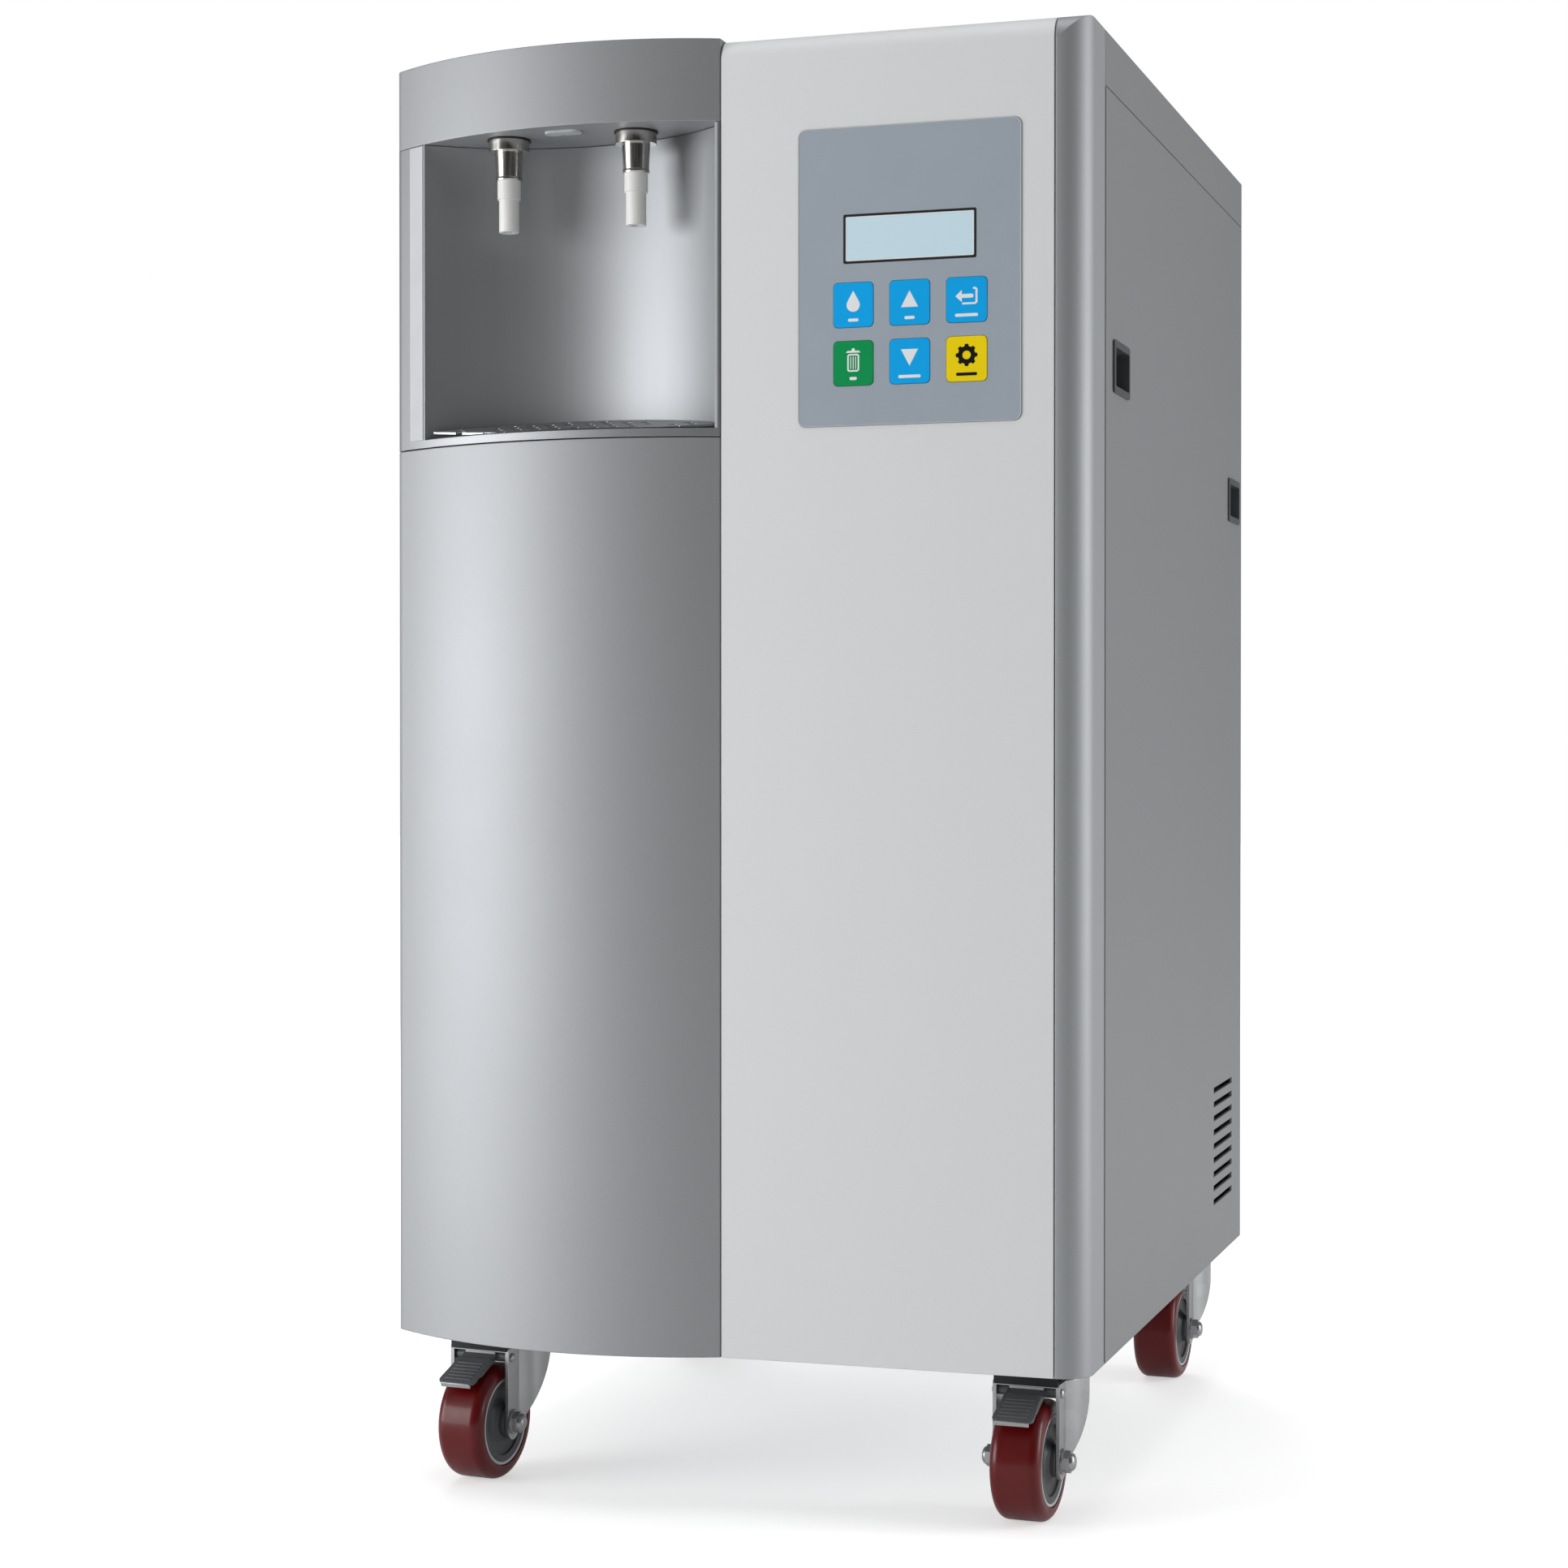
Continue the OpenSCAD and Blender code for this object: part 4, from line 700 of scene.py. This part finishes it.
# The front and top bars are dark as painted shade; the leaf is pale as a painted highlight
SHADE_FRONT_DEPTH = (-36.2, -35.05)
SHADE_FRONT_RISE = (-1.7, 5.2)
SHADE_TOP_DEPTH = (-35.6, -20.0)
SHADE_TOP_RISE = (0.05, 1.1)
LEAF_SPAN = (-11.0, 11.0)
LEAF_DEPTH = (-34.2, -33.2)
LEAF_RISE = (-4.2, -2.6)
LEAF_ROUND = 0.2

# The brake pedal, in millimetres in its own sloping frame
PEDAL_SLOPE = 24
TREAD_FOOT = 3.25
TREAD_TOP = 5.0
TREAD_FRONT = -38.0
TREAD_HALF = [(12.0, -10.0), (12.0, -20.0), (13.0, -33.0), (13.0, -35.6), (12.2, -37.2), (10.6, -38.0)]
RIB_PLACES = (-16.0, -19.5, -23.0, -26.5, -30.0, -33.5)
RIB_SPAN = (-9.5, 9.5)
RIB_HALF = 0.9
RIB_ROUND = 0.25
RIB_RISE = (TREAD_TOP - 0.4, TREAD_TOP + 0.45)
EDGE_SPAN = (-10.6, 10.6)
EDGE_DEPTH = (TREAD_FRONT - 1.0, TREAD_FRONT + 0.4)
EDGE_RISE = (1.4, TREAD_TOP - 0.3)


def add_wheel_trim(caster):
    """A bright rim line, a dished hub cover and domed axle ends on both sides."""
    place = wheel_place(caster)
    trim = bmesh.new()
    covers = bmesh.new()
    caps = bmesh.new()
    for side in both_sides(place):
        turned(trim, RIM_PROFILE, side, 80)
        turned(covers, HUB_PROFILE, side, 72)
        turned(caps, AXLE_END_PROFILE, side, 32, False)
    add_piece(caster + "_rim_rings", trim, "pale_trim_and_highlights", caster + "_wheel")
    add_piece(caster + "_hub_covers", covers, "wheel_core", caster + "_wheel")
    add_piece(caster + "_axle_caps", caps, "caster_zinc", caster + "_caster")


def add_pedal_trim(caster):
    """A flared tread with grip ribs on the pedal, and a bright turned-down edge along its front."""
    place = pin_place(caster) @ Matrix.Rotation(math.radians(PEDAL_SLOPE), 4, "X")
    outline = TREAD_HALF + [(-x, y) for x, y in reversed(TREAD_HALF)]
    tread = bmesh.new()
    prism(tread, [(x * MM, y * MM) for x, y in reversed(outline)],
          place @ Matrix.Translation((0, 0, TREAD_FOOT * MM)), (TREAD_TOP - TREAD_FOOT) * MM)
    for y in RIB_PLACES:
        bar(tread, place, RIB_SPAN, (y - RIB_HALF, y + RIB_HALF), RIB_RISE, RIB_ROUND)
    add_piece(caster + "_pedal_tread", tread, "pedal_plastic", caster + "_brake")
    edge = bmesh.new()
    bar(edge, place, EDGE_SPAN, EDGE_DEPTH, EDGE_RISE)
    add_piece(caster + "_lever_edge", edge, "caster_zinc", caster + "_brake")


def add_crown_trim(caster):
    """Painted shade on the crown, a dark dome and dark bars over its front edge, and the brake's spring leaf
    under it, pale as a painted highlight.
    """
    place = crown_place(caster)
    cover = bmesh.new()
    # Dark dome and bars: painted shade where the crown lies under the cabinet
    turned(cover, CROWN_SHADE_PROFILE, place, 72)
    bar(cover, place, CROWN_SPAN, SHADE_FRONT_DEPTH, SHADE_FRONT_RISE)
    bar(cover, place, CROWN_SPAN, SHADE_TOP_DEPTH, SHADE_TOP_RISE)
    add_piece(caster + "_crown_shade", cover, "black_rubber", caster + "_caster")
    # Spring leaf in a pale finish that stands in for a bright edge highlight
    leaf = bmesh.new()
    bar(leaf, place, LEAF_SPAN, LEAF_DEPTH, LEAF_RISE, LEAF_ROUND)
    add_piece(caster + "_spring_leaf", leaf, "pale_trim_and_highlights", caster + "_caster")


def add_pin_heads(caster):
    """Domed rivet heads on the pedal's pin."""
    place = pin_place(caster) @ Matrix.Rotation(math.pi / 2, 4, "Y")
    heads = bmesh.new()
    for side in both_sides(place):
        turned(heads, PIN_HEAD_PROFILE, side, 28, False)
    add_piece(caster + "_pin_heads", heads, "caster_zinc", caster + "_caster")


# Side and back

# The dark strip of painted shade in the gap behind the corner post, in millimetres: its depth, how far its
# sides and its crown stand out, its slack in the gap and the length left free at its ends
GAP_SHADE_DEPTH = 1.5
GAP_SHADE_SIDE = 0.3
GAP_SHADE_CROWN = 0.5
GAP_SHADE_SLACK = 0.05
GAP_SHADE_END = 1


def add_post_gap_shade():
    """A dark strip in the gap between the corner post and the side panel, as painted shade."""
    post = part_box("corner_post")
    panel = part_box("right_side_panel")
    root = post[1].x - GAP_SHADE_DEPTH * MM
    side = post[1].x + GAP_SHADE_SIDE * MM
    crown = post[1].x + GAP_SHADE_CROWN * MM
    front = post[1].y + GAP_SHADE_SLACK * MM
    back = panel[0].y - GAP_SHADE_SLACK * MM
    middle = (post[1].y + panel[0].y) / 2
    outline = [(root, front), (side, front), (crown, middle), (side, back), (root, back)]
    bottom = panel[0].z + GAP_SHADE_END * MM
    top = panel[1].z - GAP_SHADE_END * MM
    bm = bmesh.new()
    # Painted shade: a dark strip where the gap between post and side panel is dark
    prism(bm, outline, Matrix.Translation((0, 0, bottom)), top - bottom)
    add_piece("post_gap_shade", bm, "latch_plastic", "cabinet")


# Grip ridges of a catch: pitch and half width in millimetres, half height as a share of the catch's height,
# and rings as (share of the outline, lift in millimetres)
GRIP_PITCH = 2.1
GRIP_HALF = 0.7
GRIP_TALL_SHARE = 0.36
GRIP_RINGS = ((1.0, -0.2), (0.7, 0.7))


def add_latch_grips():
    """Fine grip ridges on each catch."""
    for latch in ("front_latch", "rear_latch"):
        low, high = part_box(latch + "_slider")
        middle = (low + high) / 2
        bm = bmesh.new()
        for i in (-1, 0, 1):
            y = middle.y + i * GRIP_PITCH * MM
            rings = []
            for share, lift in GRIP_RINGS:
                wide = GRIP_HALF * share * MM
                tall = (high.z - low.z) * GRIP_TALL_SHARE * share
                rings.append([Vector((high.x + lift * MM, y + v * wide, middle.z + u * tall))
                              for u, v in SQUARE])
            loft(bm, rings)
        add_piece(latch + "_grip", bm, "slider_plastic", latch)


# Screws on the back, in millimetres, and the places of those along the cover as shares of its width
SCREW_R = 3.8
SCREW_H = 2.2
SCREW_INSET = 8
SCREW_END = 12
SCREW_ROWS = 5
COVER_SCREW_DROP = 4
COVER_SCREW_SHARES = (-0.32, 0.0, 0.32)


def add_rear_screws():
    """Cross-head screws round the rear panel and along the cover's rear skirt."""
    low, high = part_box("rear_panel")
    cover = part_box("top_cover")
    screws = bmesh.new()
    for i in range(SCREW_ROWS):
        z = low.z + SCREW_END * MM + (high.z - low.z - 2 * SCREW_END * MM) * i / (SCREW_ROWS - 1)
        for x in (low.x + SCREW_INSET * MM, high.x - SCREW_INSET * MM):
            screw_head(screws, rear_face(x, z, high.y), SCREW_R * MM, SCREW_H * MM)
    z = (cover[0].z + cover[1].z) / 2 - COVER_SCREW_DROP * MM
    for share in COVER_SCREW_SHARES:
        x = share * (cover[1].x - cover[0].x)
        screw_head(screws, rear_face(x, z, cover[1].y), SCREW_R * MM, SCREW_H * MM)
    add_piece("rear_screws", screws, "caster_zinc", "cabinet")


# The mains inlet, in millimetres: thickness of its floor, places of its blades, their rings as
# (width, height, reach), their corners, and the screws of its flange
INLET_FLOOR = 2
BLADE_PLACES = ((-7, -1.5), (7, -1.5), (0, 2.5))
BLADE_RINGS = ((2.0, 4.0, 0.0), (2.0, 4.0, 15), (1.2, 3.0, 16.5))
BLADE_CORNER = 0.5
FLANGE_SCREW_X = 20.5
FLANGE_SCREW_R = 2.6
FLANGE_SCREW_H = 1.5


def add_inlet_pins():
    """Three blades in the mains inlet and the screws of its flange."""
    low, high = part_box("power_inlet")
    x, z = (low.x + high.x) / 2, (low.z + high.z) / 2
    pins = bmesh.new()
    floor_y = low.y + INLET_FLOOR * MM
    for dx, dz in BLADE_PLACES:
        place = rear_face(x + dx * MM, z + dz * MM, floor_y)
        rings = []
        for wide, tall, reach in BLADE_RINGS:
            outline = rounded_outline(wide * MM, tall * MM, BLADE_CORNER * MM, 3)
            rings.append([Vector((u, v, reach * MM)) for u, v in outline])
        loft(pins, rings, place)
    add_piece("inlet_pins", pins, "brass", "cabinet")
    screws = bmesh.new()
    for sx in (-1, 1):
        place = rear_face(x + sx * FLANGE_SCREW_X * MM, z, high.y)
        screw_head(screws, place, FLANGE_SCREW_R * MM, FLANGE_SCREW_H * MM)
    add_piece("inlet_screws", screws, "caster_zinc", "cabinet")


# The water ports' hexagons, and the profile of their clips as (radius, height), in millimetres
PORT_HEX_R = 11
CLIP_PROFILE = [(7.6, -1.2), (8.9, -1.2), (9.2, -1.8), (9.2, -3.6), (8.9, -4.2), (7.6, -4.2)]


def add_port_clips():
    """A blue locking clip behind the lip of each push-fit port."""
    low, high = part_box("water_ports")
    clips = bmesh.new()
    for x in (low.x + PORT_HEX_R * MM, high.x - PORT_HEX_R * MM):
        place = rear_face(x, (low.z + high.z) / 2, high.y)
        turned(clips, CLIP_PROFILE, place, 40)
    add_piece("port_clips", clips, "blue_clip", "cabinet")


# Stage


def math_node(tree, operation, second=None):
    """A node that works on two values, of which the second can be fixed."""
    made = tree.nodes.new("ShaderNodeMath")
    made.operation = operation
    if second is not None:
        made.inputs[1].default_value = second
    return made


def smooth_range(tree, start, end, low, high):
    """A node that eases from low to high while its input goes from start to end."""
    made = tree.nodes.new("ShaderNodeMapRange")
    made.interpolation_type = "SMOOTHSTEP"
    for socket, value in (("From Min", start), ("From Max", end), ("To Min", low), ("To Max", high)):
        made.inputs[socket].default_value = value
    return made


def add_floor():
    """A pale floor that reads as the white background and keeps the object's shadow."""
    bm = bmesh.new()
    bm.faces.new([bm.verts.new((u * FLOOR_HALF, v * FLOOR_HALF, 0)) for u, v in SQUARE])
    mesh = bpy.data.meshes.new("floor")
    bm.to_mesh(mesh)
    bm.free()
    floor = bpy.data.objects.new("floor", mesh)
    bpy.context.scene.collection.objects.link(floor)
    made = bpy.data.materials.new("pale_floor")
    made.use_nodes = True
    tree = made.node_tree
    tree.nodes.clear()
    place = tree.nodes.new("ShaderNodeTexCoord")
    reach = tree.nodes.new("ShaderNodeVectorMath")
    reach.operation = "LENGTH"
    glow = smooth_range(tree, FLOOR_NEAR, FLOOR_FAR, FLOOR_NEAR_GLOW, 1.0)
    rays = tree.nodes.new("ShaderNodeLightPath")
    mirrored = math_node(tree, "MULTIPLY", FLOOR_GLOSS)
    seen = math_node(tree, "MAXIMUM")
    strength = math_node(tree, "MULTIPLY")
    emission = tree.nodes.new("ShaderNodeEmission")
    matt = tree.nodes.new("ShaderNodeBsdfDiffuse")
    matt.inputs["Color"].default_value = FLOOR_TONE + (1.0,)
    both = tree.nodes.new("ShaderNodeAddShader")
    output = tree.nodes.new("ShaderNodeOutputMaterial")
    link = tree.links.new
    link(place.outputs["Object"], reach.inputs[0])
    link(reach.outputs["Value"], glow.inputs["Value"])
    link(rays.outputs["Is Camera Ray"], seen.inputs[0])
    link(rays.outputs["Is Glossy Ray"], mirrored.inputs[0])
    link(mirrored.outputs["Value"], seen.inputs[1])
    link(glow.outputs["Result"], strength.inputs[0])
    link(seen.outputs["Value"], strength.inputs[1])
    link(strength.outputs["Value"], emission.inputs["Strength"])
    link(emission.outputs["Emission"], both.inputs[0])
    link(matt.outputs["BSDF"], both.inputs[1])
    link(both.outputs["Shader"], output.inputs["Surface"])
    mesh.materials.append(made)


def add_world():
    """White where the camera looks, soft light all round, and a dark card that polished surfaces see."""
    world = bpy.data.worlds.new("studio")
    bpy.context.scene.world = world
    world.use_nodes = True
    tree = world.node_tree
    tree.nodes.clear()
    turn = math.radians(DARK_CARD_AZIMUTH)
    rise = math.radians(DARK_CARD_RISE)
    rays = tree.nodes.new("ShaderNodeLightPath")
    place = tree.nodes.new("ShaderNodeTexCoord")
    card = tree.nodes.new("ShaderNodeVectorMath")
    card.operation = "DOT_PRODUCT"
    card.inputs[1].default_value = (math.sin(turn) * math.cos(rise), -math.cos(turn) * math.cos(rise),
                                    math.sin(rise))
    gloss = smooth_range(tree, DARK_CARD_REACH, 1.0, WORLD_GLOSS, DARK_CARD_GLOSS)
    clear = math_node(tree, "MAXIMUM")
    mirror = tree.nodes.new("ShaderNodeMix")
    mirror.inputs["A"].default_value = WORLD_DIFFUSE
    direct = tree.nodes.new("ShaderNodeMix")
    direct.inputs["B"].default_value = 1.0
    background = tree.nodes.new("ShaderNodeBackground")
    background.inputs["Color"].default_value = (1, 1, 1, 1)
    output = tree.nodes.new("ShaderNodeOutputWorld")
    link = tree.links.new
    link(place.outputs["Generated"], card.inputs[0])
    link(card.outputs["Value"], gloss.inputs["Value"])
    link(rays.outputs["Is Camera Ray"], clear.inputs[0])
    link(rays.outputs["Is Transmission Ray"], clear.inputs[1])
    link(rays.outputs["Is Glossy Ray"], mirror.inputs["Factor"])
    link(gloss.outputs["Result"], mirror.inputs["B"])
    link(clear.outputs["Value"], direct.inputs["Factor"])
    link(mirror.outputs["Result"], direct.inputs["A"])
    link(direct.outputs["Result"], background.inputs["Strength"])
    link(background.outputs["Background"], output.inputs["Surface"])


def add_lamps():
    """Area lamps around the object, aimed at its middle and out of the camera's sight."""
    for name, spec in LAMPS.items():
        lamp = bpy.data.lights.new(name, "AREA")
        lamp.shape = "RECTANGLE"
        lamp.size, lamp.size_y = spec["size"]
        lamp.energy = spec["power"]
        made = bpy.data.objects.new(name, lamp)
        turn = math.radians(spec["azimuth"])
        made.location = (spec["distance"] * math.sin(turn), -spec["distance"] * math.cos(turn),
                         spec["height"])
        aim = LAMP_AIM - Vector(made.location)
        made.rotation_euler = aim.to_track_quat("-Z", "Y").to_euler()
        made.visible_camera = False
        bpy.context.scene.collection.objects.link(made)


def add_camera():
    """The camera that takes the photograph's view."""
    data = bpy.data.cameras.new("photo_camera")
    data.lens = CAMERA_LENS
    data.sensor_width = CAMERA_SENSOR
    made = bpy.data.objects.new("photo_camera", data)
    made.location = CAMERA_PLACE
    made.rotation_euler = [math.radians(angle) for angle in CAMERA_TURN]
    bpy.context.scene.collection.objects.link(made)
    bpy.context.scene.camera = made


add_camera()
dress_frame()
add_key_prints()
add_panel_trim()
add_nozzle_rings()
add_bay_edge_highlights()
for caster in CASTERS:
    add_wheel_trim(caster)
    add_pedal_trim(caster)
    add_crown_trim(caster)
    add_pin_heads(caster)
add_post_gap_shade()
add_latch_grips()
add_rear_screws()
add_inlet_pins()
add_port_clips()
add_floor()
add_world()
add_lamps()

bpy.context.scene.view_settings.view_transform = "Standard"
